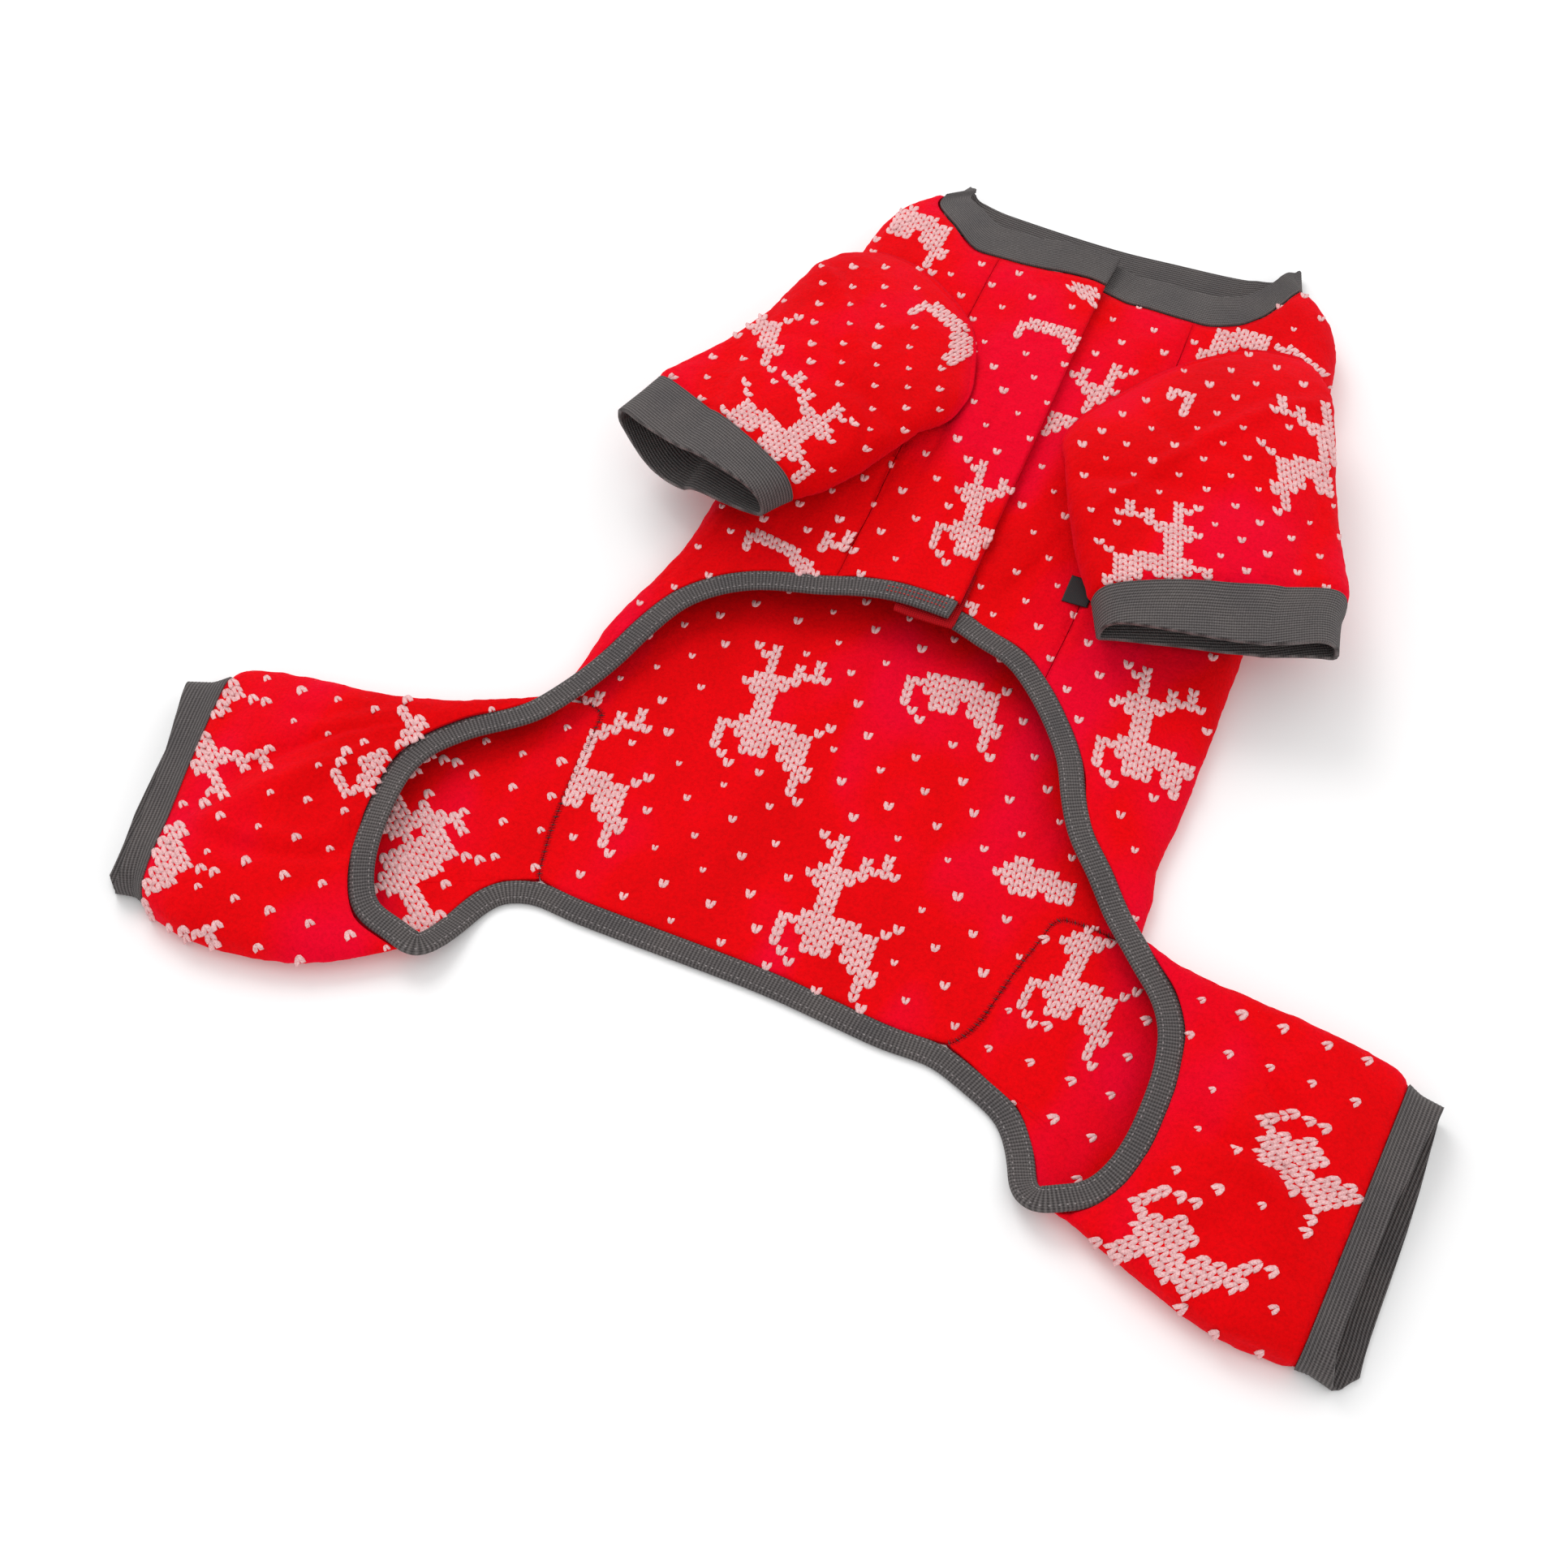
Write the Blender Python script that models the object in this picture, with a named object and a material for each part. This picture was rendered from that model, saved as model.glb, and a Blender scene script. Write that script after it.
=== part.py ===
# Dog jumpsuit in fleece with rib-knit cuffs, lying on its back with the belly side up.
# +X is the photograph's right, +Y is towards the neck and +Z is up. Sizes are in metres.
# Every sewn piece is a closed shell of its own cloth thickness, with a small gap at each seam.
# Every tube of the garment is read from one lying section, which is flat below and domed above.
# "around" is the place on a tube's ring: 0 is one fold, 0.25 the top, 0.5 the other fold, 0.75 the floor.

import bpy
import math
import numpy as np

# Body
BODY_LENGTH = 0.485          # rump edge to the back of the neck
BODY_WIDTH = 0.296           # laid flat across the hips
BODY_HEIGHT = 0.034          # floor to the top of the chest
FLEECE = 0.0026              # thickness of the plush cloth
SEAM_GAP = 0.0003            # between two sewn pieces
CHEST_SEAM = 0.166           # around, where the chest panels meet the back panel
FOLD_SHARE = 0.065           # around, how far a side fold's close bend reaches

# Placket
PLACKET_EDGE = 0.014         # the upper layer's edge, right of the middle
PLACKET_OVERLAP = 0.027      # how far the lower layer runs on under it
PLACKET_LIFT = 0.0027        # the upper layer rises and the lower one sinks by this much
PLACKET_EASE = 0.026         # length over which they do
PLACKET_MARGIN = 0.002       # the lower layer stays down this much past the upper one's edge
PLACKET_MIDWAY = 0.66        # along the body, where the placket's places around it are taken

# Rib knit
RIB = 0.0020                 # thickness of the doubled bands
COLLAR_WIDTH = 0.030
COLLAR_RISE = 0.030          # height of the neck's mouth at the front
SLEEVE_CUFF_WIDTH = 0.026
LEG_CUFF_WIDTH = 0.018

# Binding
BINDING_WIDTH = 0.0100
BINDING_THICK = 0.0032

# Sleeves
SLEEVE_LENGTH = 0.126        # armhole to cuff seam
SLEEVE_CUFF_FLAT = 0.113     # the cuff laid flat
SLEEVE_HEIGHT = 0.020        # between its two layers
SLEEVE_ROUND = 1.35          # how round its upper layer is, where 1 is the lying section
SLEEVE_FREE = 0.029          # height of its lower layer where nothing is under it
SLEEVE_CLEAR = 0.0020        # room between the sleeve and the body under it
SLEEVE_DRAPE = 0.007         # how softly it bends where it leaves the body
ARMHOLE_MARGIN = 0.0035      # the sleeve's root laps the armhole's edge by this much

# Hind legs
LEG_LENGTH = 0.136           # hip to cuff seam
LEG_CUFF_FLAT = 0.131
LEG_HEIGHT = 0.0175
LEG_PUFF = 0.007             # how much higher the leg is midway
LEG_BULGE = 0.017            # how far the rear fold bows out

# Small pieces
TAB_WIDTH = 0.031
TAB_LENGTH = 0.034
TAB_THICK = 0.0010
TAB_SHOWS = 0.009            # how far it reaches out under the binding
TAB_PAST = 0.002             # how far it reaches past the placket's edge
LABEL_PLACE = (0.200, 0.486) # its near corner, across (of BODY_WIDTH) and along (of BODY_LENGTH)
LABEL_WIDTH = 0.013
LABEL_LENGTH = 0.016
LABEL_THICK = 0.0005

# The lying section, from a fold to the middle: around, across, up
SECTION_TOP = (
    (0.000, 1.000, 0.30),
    (0.012, 0.990, 0.50),
    (0.030, 0.960, 0.70),
    (0.060, 0.885, 0.86),
    (0.100, 0.740, 0.945),
    (0.150, 0.500, 0.985),
    (0.200, 0.250, 0.998),
    (0.250, 0.000, 1.000),
)
SECTION_FLOOR = (
    (0.0125, 0.992, 0.13),
    (0.030, 0.965, 0.035),
    (0.050, 0.920, 0.000),
    (0.100, 0.740, 0.000),
    (0.250, 0.000, 0.000),
)

# The body, from the rump to the neck: along (of BODY_LENGTH), left, right (of BODY_WIDTH),
# height (of BODY_HEIGHT)
BODY = (
    (-0.060, -0.500, 0.507, 0.36),
    (0.120, -0.498, 0.505, 0.42),
    (0.200, -0.495, 0.503, 0.46),
    (0.245, -0.488, 0.492, 0.49),
    (0.300, -0.483, 0.499, 0.51),
    (0.396, -0.447, 0.500, 0.56),
    (0.450, -0.432, 0.500, 0.61),
    (0.510, -0.430, 0.500, 0.72),
    (0.610, -0.434, 0.500, 0.84),
    (0.715, -0.434, 0.496, 0.93),
    (0.820, -0.431, 0.486, 0.99),
    (0.890, -0.428, 0.481, 1.00),
    (0.945, -0.422, 0.472, 0.98),
    (0.985, -0.408, 0.453, 0.94),
    (1.020, -0.372, 0.412, 0.88),
    (1.045, -0.340, 0.372, 0.82),
    (1.110, -0.320, 0.352, 0.78),
)

# Both ends of the body's cloth: around, neck, hem (of BODY_LENGTH, from the rump)
BODY_ENDS = (
    (0.0000, 1.043, 0.212),
    (0.0120, 1.039, 0.222),
    (0.0420, 1.030, 0.280),
    (0.0640, 1.008, 0.361),
    (0.1125, 0.963, 0.410),
    (0.1480, 0.926, 0.425),
    (0.1970, 0.922, 0.443),
    (0.2420, 0.928, 0.446),
    (0.2640, 0.921, 0.441),
    (0.2790, 0.913, 0.431),
    (0.3060, 0.908, 0.419),
    (0.3380, 0.904, 0.388),
    (0.3660, 0.921, 0.346),
    (0.3860, 0.950, 0.303),
    (0.3970, 0.971, 0.270),
    (0.4200, 1.004, 0.229),
    (0.4550, 1.030, 0.186),
    (0.4800, 1.040, 0.167),
    (0.5000, 1.049, 0.161),
    (0.5300, 1.044, 0.158),
    (0.5500, 1.038, 0.157),
    (0.5750, 1.030, 0.158),
    (0.5900, 1.024, 0.157),
    (0.5970, 1.020, 0.150),
    (0.6030, 1.018, 0.120),
    (0.6100, 1.016, 0.085),
    (0.6200, 1.014, 0.020),
    (0.6320, 1.010, -0.006),
    (0.6600, 1.006, -0.010),
    (0.7000, 1.003, -0.005),
    (0.7500, 1.000, 0.001),
    (0.8700, 1.011, 0.003),
    (0.9014, 1.018, 0.010),
    (0.9080, 1.020, 0.035),
    (0.9160, 1.022, 0.082),
    (0.9220, 1.024, 0.140),
    (0.9300, 1.027, 0.208),
    (0.9600, 1.038, 0.216),
    (1.0000, 1.043, 0.212),
)
CORNER_RIGHT = 0.6320        # around, where the rump edge ends
CORNER_LEFT = 0.9014

# The edge of a hind leg's cloth along the opening, from the front fold round to the rump's corner:
# around, across (of BODY_WIDTH), along (of BODY_LENGTH), height (of LEG_HEIGHT)
LEG_ROOT_LEFT = (
    (0.000, -0.498, 0.2110, 0.40),
    (0.030, -0.513, 0.1900, 0.58),
    (0.080, -0.545, 0.1640, 0.76),
    (0.150, -0.608, 0.1280, 0.94),
    (0.220, -0.652, 0.0865, 1.00),
    (0.290, -0.6655, 0.0475, 1.00),
    (0.350, -0.6590, 0.0062, 1.00),
    (0.410, -0.6420, -0.0433, 0.95),
    (0.450, -0.6150, -0.0825, 0.86),
    (0.475, -0.5710, -0.1113, 0.74),
    (0.500, -0.5140, -0.1175, 0.58),
    (0.520, -0.4830, -0.1010, 0.42),
    (0.545, -0.4700, -0.0680, 0.18),
    (0.575, -0.4560, -0.0330, 0.00),
    (0.605, -0.4210, -0.0080, 0.00),
    (0.630, -0.3740, 0.0020, 0.00),
)
LEG_ROOT_RIGHT = (
    (0.000, 0.510, 0.1540, 0.40),
    (0.030, 0.524, 0.1440, 0.78),
    (0.090, 0.552, 0.1270, 0.90),
    (0.160, 0.592, 0.1010, 0.96),
    (0.230, 0.6230, 0.0580, 0.98),
    (0.300, 0.6320, 0.0062, 0.98),
    (0.360, 0.6290, -0.0371, 0.95),
    (0.410, 0.6180, -0.0742, 0.88),
    (0.450, 0.5880, -0.1113, 0.78),
    (0.480, 0.5470, -0.1280, 0.60),
    (0.505, 0.5100, -0.1200, 0.36),
    (0.535, 0.4790, -0.0810, 0.05),
    (0.570, 0.4220, -0.0370, 0.00),
    (0.605, 0.3590, -0.0260, 0.00),
    (0.630, 0.2930, -0.0140, 0.00),
)
LEG_SEAM = 0.630             # around the root, where the seam with the back panel starts
LEG_CORNER = 0.070           # around the root, how far before it the rump's corner bends

# The seam of a leg on the back panel, from the rump's corner to the side fold: around the body,
# around the leg's cuff
SEAM_LEFT = (
    (CORNER_LEFT, 0.590),
    (0.9080, 0.625),
    (0.9160, 0.665),
    (0.9220, 0.710),
    (0.9300, 0.760),
    (0.9400, 0.820),
    (0.9550, 0.875),
    (0.9700, 0.920),
    (0.9820, 0.955),
    (0.9900, 0.976),
    (0.9960, 0.989),
    (1.0000, 1.000),
)
SEAM_RIGHT = (
    (CORNER_RIGHT, 0.590),
    (0.6200, 0.622),
    (0.6100, 0.660),
    (0.6030, 0.700),
    (0.5970, 0.745),
    (0.5880, 0.800),
    (0.5720, 0.855),
    (0.5480, 0.905),
    (0.5280, 0.945),
    (0.5140, 0.972),
    (0.5060, 0.988),
    (0.5000, 1.000),
)

# The two legs: side, hip across (of BODY_WIDTH), hip along (of BODY_LENGTH), angle below sideways
LEGS = {
    "left": (-1, -0.493, 0.0165, 12.5),
    "right": (1, 0.456, -0.0155, 5.0),
}

# A sleeve's root on the body, round the armhole from its outer end: around, across (of BODY_WIDTH),
# along (of BODY_LENGTH). Its first half is the seam that shows on top.
SLEEVE_ROOT_LEFT = (
    (0.000, -0.385, 0.866),
    (0.050, -0.374, 0.884),
    (0.120, -0.305, 0.874),
    (0.200, -0.207, 0.838),
    (0.270, -0.142, 0.797),
    (0.340, -0.104, 0.740),
    (0.400, -0.088, 0.695),
    (0.450, -0.096, 0.664),
    (0.500, -0.125, 0.645),
    (0.550, -0.160, 0.655),
    (0.650, -0.215, 0.690),
    (0.750, -0.270, 0.735),
    (0.850, -0.320, 0.790),
    (0.930, -0.362, 0.835),
)
SLEEVE_ROOT_RIGHT = (
    (0.000, 0.432, 0.880),
    (0.050, 0.420, 0.898),
    (0.120, 0.342, 0.888),
    (0.200, 0.258, 0.850),
    (0.270, 0.196, 0.808),
    (0.340, 0.142, 0.756),
    (0.400, 0.104, 0.712),
    (0.450, 0.092, 0.682),
    (0.500, 0.112, 0.660),
    (0.550, 0.146, 0.664),
    (0.650, 0.215, 0.700),
    (0.750, 0.290, 0.748),
    (0.850, 0.365, 0.805),
    (0.930, 0.412, 0.850),
)

# The two sleeves: side, armhole's middle across (of BODY_WIDTH), along (of BODY_LENGTH),
# angle outwards from straight down
SLEEVES = {
    "left": (-1, -0.258, 0.766, 26.5),
    "right": (1, 0.285, 0.759, 20.5),
}

# How a sleeve's mouth lies: lift of all of it, lift of its outer fold, sag of its lower layer,
# reach of its lower layer past the upper one (of SLEEVE_HEIGHT)
SLEEVE_MOUTHS = {
    "left": (0.45, 0.00, 0.60, 0.45),
    "right": (0.00, 0.55, 0.00, 0.00),
}

# How a sleeve opens from its root to its mouth: along (of SLEEVE_LENGTH), rise (of SLEEVE_HEIGHT),
# spread of the left sleeve's outer fold, of the right one's, of the inner fold (of SLEEVE_CUFF_FLAT)
SLEEVE_FORM = (
    (-0.20, -0.40, -0.030, -0.030, 0.000),
    (0.00, 0.00, 0.000, 0.000, 0.000),
    (0.05, 0.17, 0.020, 0.022, 0.002),
    (0.12, 0.37, 0.038, 0.055, 0.008),
    (0.22, 0.57, 0.050, 0.082, 0.020),
    (0.38, 0.83, 0.018, 0.080, 0.035),
    (0.55, 0.97, -0.045, 0.064, 0.040),
    (0.70, 1.00, -0.060, 0.062, 0.035),
    (0.85, 1.00, -0.045, 0.066, 0.022),
    (0.95, 0.96, -0.040, 0.070, 0.008),
    (1.02, 0.92, -0.065, 0.050, 0.000),
    (1.08, 0.92, -0.090, 0.020, 0.000),
    (1.25, 1.00, -0.150, -0.020, 0.000),
)

# How a hind leg changes from hip to mouth: along (of LEG_LENGTH), puff (of LEG_PUFF), bow of the
# left leg's rear fold and of the right one's, bow of their front folds (of LEG_BULGE)
LEG_FORM = (
    (-0.20, -0.30, -0.35, -0.15, 0.20, 0.10),
    (0.00, 0.00, 0.00, 0.00, 0.00, 0.00),
    (0.07, 0.22, 0.20, 0.02, -0.10, -0.10),
    (0.15, 0.45, 0.42, 0.06, -0.26, -0.20),
    (0.28, 0.75, 0.68, 0.20, -0.44, -0.18),
    (0.40, 0.90, 0.78, 0.32, -0.42, -0.08),
    (0.70, 0.90, 0.58, 0.50, 0.02, 0.20),
    (0.94, 0.45, -0.10, 0.16, 0.36, 0.32),
    (1.00, 0.28, -0.45, 0.06, 0.16, 0.20),
    (1.06, 0.15, -0.72, -0.04, -0.04, 0.10),
    (1.20, 0.20, -0.80, -0.04, -0.04, 0.14),
)

# The collar's mouth: around, lean inwards, reach (of COLLAR_WIDTH), height (of COLLAR_RISE)
COLLAR_MOUTH = (
    (0.000, 0.24, 0.92, 0.14),
    (0.020, 0.29, 0.90, 0.22),
    (0.045, 0.34, 0.89, 0.33),
    (0.065, 0.36, 0.90, 0.44),
    (0.100, 0.28, 0.94, 0.66),
    (0.150, 0.14, 1.00, 0.92),
    (0.200, 0.05, 0.98, 0.96),
    (0.250, 0.00, 0.95, 0.90),
    (0.290, 0.02, 0.96, 0.90),
    (0.340, 0.10, 0.98, 0.94),
    (0.380, 0.24, 0.94, 0.84),
    (0.410, 0.34, 0.88, 0.66),
    (0.440, 0.36, 0.87, 0.48),
    (0.460, 0.34, 0.88, 0.33),
    (0.480, 0.29, 0.90, 0.22),
    (0.500, 0.24, 0.92, 0.14),
    (0.530, 0.22, 0.94, 0.02),
    (0.560, 0.14, 1.01, 0.00),
    (0.600, 0.06, 1.06, 0.00),
    (0.750, 0.00, 1.09, 0.00),
    (0.900, 0.06, 1.06, 0.00),
    (0.940, 0.14, 1.01, 0.00),
    (0.970, 0.22, 0.94, 0.02),
)

# Folds in the upper layer of the body: across (of BODY_WIDTH), along, length, width (of BODY_LENGTH),
# turn in degrees from the +Y way, height (of BODY_HEIGHT)
BODY_FOLDS = (
    (-0.075, 0.640, 0.180, 0.016, 3.0, 0.060),
    (0.100, 0.640, 0.130, 0.020, -6.0, 0.090),
    (0.110, 0.520, 0.080, 0.024, -28.0, 0.060),
    (0.250, 0.440, 0.070, 0.024, -50.0, 0.070),
    (0.330, 0.520, 0.060, 0.020, -62.0, 0.060),
    (-0.190, 0.490, 0.070, 0.018, 40.0, 0.080),
    (-0.310, 0.470, 0.060, 0.018, 62.0, -0.070),
    (0.390, 0.330, 0.060, 0.018, -20.0, 0.090),
    (-0.060, 0.870, 0.050, 0.022, 60.0, 0.060),
    (0.180, 0.870, 0.060, 0.022, -40.0, 0.060),
)

# Folds in the upper layer of a tube: around, along, turn, length, width (shares), height (of its own)
SLEEVE_FOLDS = (
    (0.18, 0.40, 0.30, 0.30, 0.035, 0.14),
    (0.33, 0.55, -0.20, 0.26, 0.040, -0.12),
    (0.12, 0.70, 0.10, 0.22, 0.040, 0.08),
)
LEG_FOLDS = (
    (0.30, 0.45, 0.04, 0.34, 0.035, 0.26),
    (0.22, 0.55, 0.06, 0.26, 0.030, -0.20),
    (0.40, 0.30, -0.06, 0.20, 0.030, 0.18),
)

MATERIALS = {
    # colour, roughness
    "red_fleece": ((0.68, 0.004, 0.010), 0.95),
    "grey_rib": ((0.055, 0.052, 0.052), 0.90),
    "red_closure": ((0.55, 0.010, 0.014), 0.85),
    "dark_label": ((0.012, 0.012, 0.014), 0.70),
}


def track(rows, column, at):
    """Reads a column at any place along a table's first column, as a smooth curve without overshoot."""
    xs = np.array([row[0] for row in rows], dtype=float)
    ys = np.array([row[column] for row in rows], dtype=float)
    step = np.diff(xs)
    rise = np.diff(ys) / step
    slope = np.zeros(len(xs))
    same = rise[:-1] * rise[1:] > 0
    before, after = rise[:-1][same], rise[1:][same]
    slope[1:-1][same] = 2 * before * after / (before + after)
    slope[0], slope[-1] = rise[0], rise[-1]
    at = np.asarray(at, dtype=float)
    i = np.clip(np.searchsorted(xs, at, side="right") - 1, 0, len(xs) - 2)
    h = step[i]
    u = np.clip((at - xs[i]) / h, -0.5, 1.5)
    return ((1 + 2 * u) * (1 - u) ** 2 * ys[i] + u * (1 - u) ** 2 * h * slope[i]
            + u * u * (3 - 2 * u) * ys[i + 1] + u * u * (u - 1) * h * slope[i + 1])


def closed(rows):
    """Repeats a table round the ring, so that it reads smoothly across its start."""
    ahead = [(row[0] + 1,) + tuple(row[1:]) for row in rows[:3]]
    behind = [(row[0] - 1,) + tuple(row[1:]) for row in rows[-3:]]
    return tuple(behind) + tuple(rows) + tuple(ahead)


def whole_section():
    rows = [(a, -x, z) for a, x, z in SECTION_TOP]
    rows += [(0.5 - a, x, z) for a, x, z in reversed(SECTION_TOP[:-1])]
    rows += [(0.5 + a, x, z) for a, x, z in SECTION_FLOOR]
    rows += [(1.0 - a, -x, z) for a, x, z in reversed(SECTION_FLOOR[:-1])]
    return closed(rows)


SECTION = whole_section()
ENDS = closed(BODY_ENDS[:-1])
MOUTH = closed(COLLAR_MOUTH)


def section(a):
    a = np.mod(a, 1.0)
    return track(SECTION, 1, a), track(SECTION, 2, a)


def smoothstep(u):
    u = np.clip(u, 0.0, 1.0)
    return u * u * (3 - 2 * u)


def fold_heights(folds, x, y):
    """Adds the soft ridges and valleys of a table of folds at the places x, y."""
    total = np.zeros(np.broadcast(x, y).shape)
    for across, along, length, width, turn, height in folds:
        dx = x - across * BODY_WIDTH
        dy = y - along * BODY_LENGTH
        c, s = math.cos(math.radians(turn)), math.sin(math.radians(turn))
        down = dy * c - dx * s
        side = dx * c + dy * s
        total = total + height * BODY_HEIGHT * np.exp(
            -(down / (length * BODY_LENGTH)) ** 2 - (side / (width * BODY_LENGTH)) ** 2)
    return total


def placket_lift(x, side):
    """Upper layer up on the left (-1), lower layer down on the right (1), where they overlap."""
    if side < 0:
        start = PLACKET_EDGE - PLACKET_OVERLAP - PLACKET_EASE
        return PLACKET_LIFT * smoothstep((x - start) / PLACKET_EASE)
    if side > 0:
        start = PLACKET_EDGE + PLACKET_EASE + PLACKET_MARGIN
        return -PLACKET_LIFT * smoothstep((start - x) / PLACKET_EASE)
    return 0.0 * x


def body(a, y, side=0):
    """The middle of the body's cloth at a place around it and a length along it."""
    share = y / BODY_LENGTH
    left = track(BODY, 1, share) * BODY_WIDTH
    right = track(BODY, 2, share) * BODY_WIDTH
    height = track(BODY, 3, share) * BODY_HEIGHT
    across, up = section(a)
    x = (left + right) / 2 + across * (right - left) / 2
    upper = smoothstep((up - 0.55) / 0.4)
    z = FLEECE / 2 + up * (height - FLEECE / 2) + upper * fold_heights(BODY_FOLDS, x, y)
    z = z + upper * placket_lift(x, side)
    return np.stack(np.broadcast_arrays(x, y, z), axis=-1)


def body_top(x, y):
    """Height of the body's upper layer, its outer face, over a place in plan."""
    share = y / BODY_LENGTH
    left = track(BODY, 1, share) * BODY_WIDTH
    right = track(BODY, 2, share) * BODY_WIDTH
    height = track(BODY, 3, share) * BODY_HEIGHT
    across = np.abs((x - (left + right) / 2) / ((right - left) / 2))
    rows = [(1 - row[1], row[2]) for row in SECTION_TOP]
    up = track(rows, 1, 1 - np.clip(across, 0, 1))
    up = np.where(across > 1, 0.30 - (across - 1) * 6, up)
    upper = smoothstep((up - 0.55) / 0.4)
    z = FLEECE / 2 + up * (height - FLEECE / 2) + upper * fold_heights(BODY_FOLDS, x, y)
    z = z + upper * placket_lift(x, -1) * (x < PLACKET_EDGE)
    return z + FLEECE / 2


def highest_near(x, y, reach_x, reach_y):
    """The highest that the body's upper layer comes within a reach of the places x, y."""
    around = [body_top(x + reach_x * i, y + reach_y * k) for i in (-1, -0.5, 0, 0.5, 1) for k in (-1, 1)]
    return np.max(around, axis=0)


def body_ends(a):
    a = np.mod(a, 1.0)
    return track(ENDS, 1, a) * BODY_LENGTH, track(ENDS, 2, a) * BODY_LENGTH


def torso(a, t, side=0):
    """t is 0 at the neck and 1 at the hem."""
    neck, hem = body_ends(a)
    return body(a, neck + (hem - neck) * t, side)


def plan_normal(curve, a):
    """The sideways direction of a curve in plan, to the left of its run."""
    step = 1e-4
    run = curve(a + step) - curve(a - step)
    flat = np.stack([-run[..., 1], run[..., 0], 0 * run[..., 0]], axis=-1)
    return flat / np.maximum(np.linalg.norm(flat, axis=-1, keepdims=True), 1e-12)


def leg_side(name):
    sign, across, along, angle = LEGS[name]
    turn = math.radians(angle)
    hip = np.array([across * BODY_WIDTH, along * BODY_LENGTH])
    way = np.array([sign * math.cos(turn), -math.sin(turn)])
    front = np.array([sign * math.sin(turn), math.cos(turn)])
    return sign, hip, way, front


def leg_root_parts(name, b):
    """The ring where a hind leg's cloth starts: along the opening, then along the back panel's seam."""
    rows = LEG_ROOT_LEFT if name == "left" else LEG_ROOT_RIGHT
    on_edge = np.stack([track(rows, 1, np.minimum(b, LEG_SEAM)) * BODY_WIDTH,
                        track(rows, 2, np.minimum(b, LEG_SEAM)) * BODY_LENGTH,
                        FLEECE / 2 + track(rows, 3, np.minimum(b, LEG_SEAM)) * (LEG_HEIGHT - FLEECE / 2)],
                       axis=-1)
    share = np.clip((b - LEG_SEAM) / (1 - LEG_SEAM), 0, 1)
    cuts = SEAM_LEFT if name == "left" else SEAM_RIGHT
    a = np.interp(share, np.linspace(0, 1, len(cuts)), [cut[0] for cut in cuts])

    def seam(at):
        return body(at, body_ends(at)[1])

    on_seam = seam(a)
    away = plan_normal(seam, np.clip(a, 0.503, 0.997))
    leg_wards = leg_side(name)[2] + np.array([0.0, -1.0])
    away = away * np.sign(np.sum(away[..., :2] * leg_wards, axis=-1, keepdims=True))
    raised = smoothstep((on_seam[..., 2:3] - FLEECE / 2) / FLEECE)
    near_fold = smoothstep((np.abs(section(a)[0])[..., None] - 0.88) / 0.08)
    on_seam = on_seam + away * (1.4 * SEAM_GAP + 0.8 * FLEECE * np.maximum(raised, near_fold))
    return on_edge, on_seam


def leg_root(name, b):
    """The same ring with its two parts made to meet at the front fold and at the rump's corner."""
    b = np.mod(b, 1.0)
    on_edge, on_seam = leg_root_parts(name, b)
    ends = np.array([0.0, LEG_SEAM, 1 - 1e-9])
    edge_ends, seam_ends = leg_root_parts(name, ends)
    fold_step = seam_ends[2] - edge_ends[0]
    corner_step = seam_ends[1] - edge_ends[1]
    on_edge = on_edge + fold_step * (1 - smoothstep(b / 0.04))[..., None]
    on_edge = on_edge + corner_step * smoothstep((b - LEG_SEAM + 0.05) / 0.05)[..., None]
    return np.where((b >= LEG_SEAM)[..., None], on_seam, on_edge)


def leg(name, b, t):
    """The middle of a hind leg's cloth: t is 0 at the hip and 1 at the cuff's seam."""
    sign, hip, way, front = leg_side(name)
    b = np.mod(b, 1.0)
    start = leg_root(name, b)
    cuts = SEAM_LEFT if name == "left" else SEAM_RIGHT
    seam_places = np.linspace(LEG_SEAM, 1, len(cuts))
    across, up = section(np.interp(b, (0.0, 0.54, *seam_places), (0.0, 0.54, *[cut[1] for cut in cuts])))
    reach = hip + way * LEG_LENGTH
    end_xy = reach - front * (across[..., None] * LEG_CUFF_FLAT / 2)
    end_z = FLEECE / 2 + up * (LEG_HEIGHT - FLEECE / 2)
    end = np.concatenate([end_xy, end_z[..., None]], axis=-1)
    t = np.asarray(t, dtype=float)
    point = start + (end - start) * t[..., None]
    puff = track(LEG_FORM, 1, t) * LEG_PUFF * smoothstep(up)
    bow = smoothstep((b - 0.30) / 0.18) * (1 - smoothstep((b - 0.52) / 0.08))
    bow = bow + (smoothstep((across + 0.2) / 1.2) - bow) * smoothstep((t - 0.8) / 0.2)
    column = 2 if name == "left" else 3
    rear = bow * track(LEG_FORM, column, t) * LEG_BULGE
    fore = smoothstep((-across + 0.2) / 1.2) * track(LEG_FORM, column + 2, t) * LEG_BULGE
    point[..., 0] += front[0] * (fore - rear)
    point[..., 1] += front[1] * (fore - rear)
    upper = smoothstep((up - 0.55) / 0.4)
    for around, along, turn, length, width, height in LEG_FOLDS:
        run = (t - along) / length
        fold = np.exp(-run ** 2 - ((b - around - turn * run) / width) ** 2)
        puff = puff + upper * height * LEG_HEIGHT * fold
    point[..., 2] += puff
    return point


def sleeve_side(name):
    sign, across, along, angle = SLEEVES[name]
    turn = math.radians(angle)
    middle = np.array([across * BODY_WIDTH, along * BODY_LENGTH])
    way = np.array([sign * math.sin(turn), -math.cos(turn)])
    outer = np.array([sign * math.cos(turn), math.sin(turn)])
    return middle, way, outer


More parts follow.
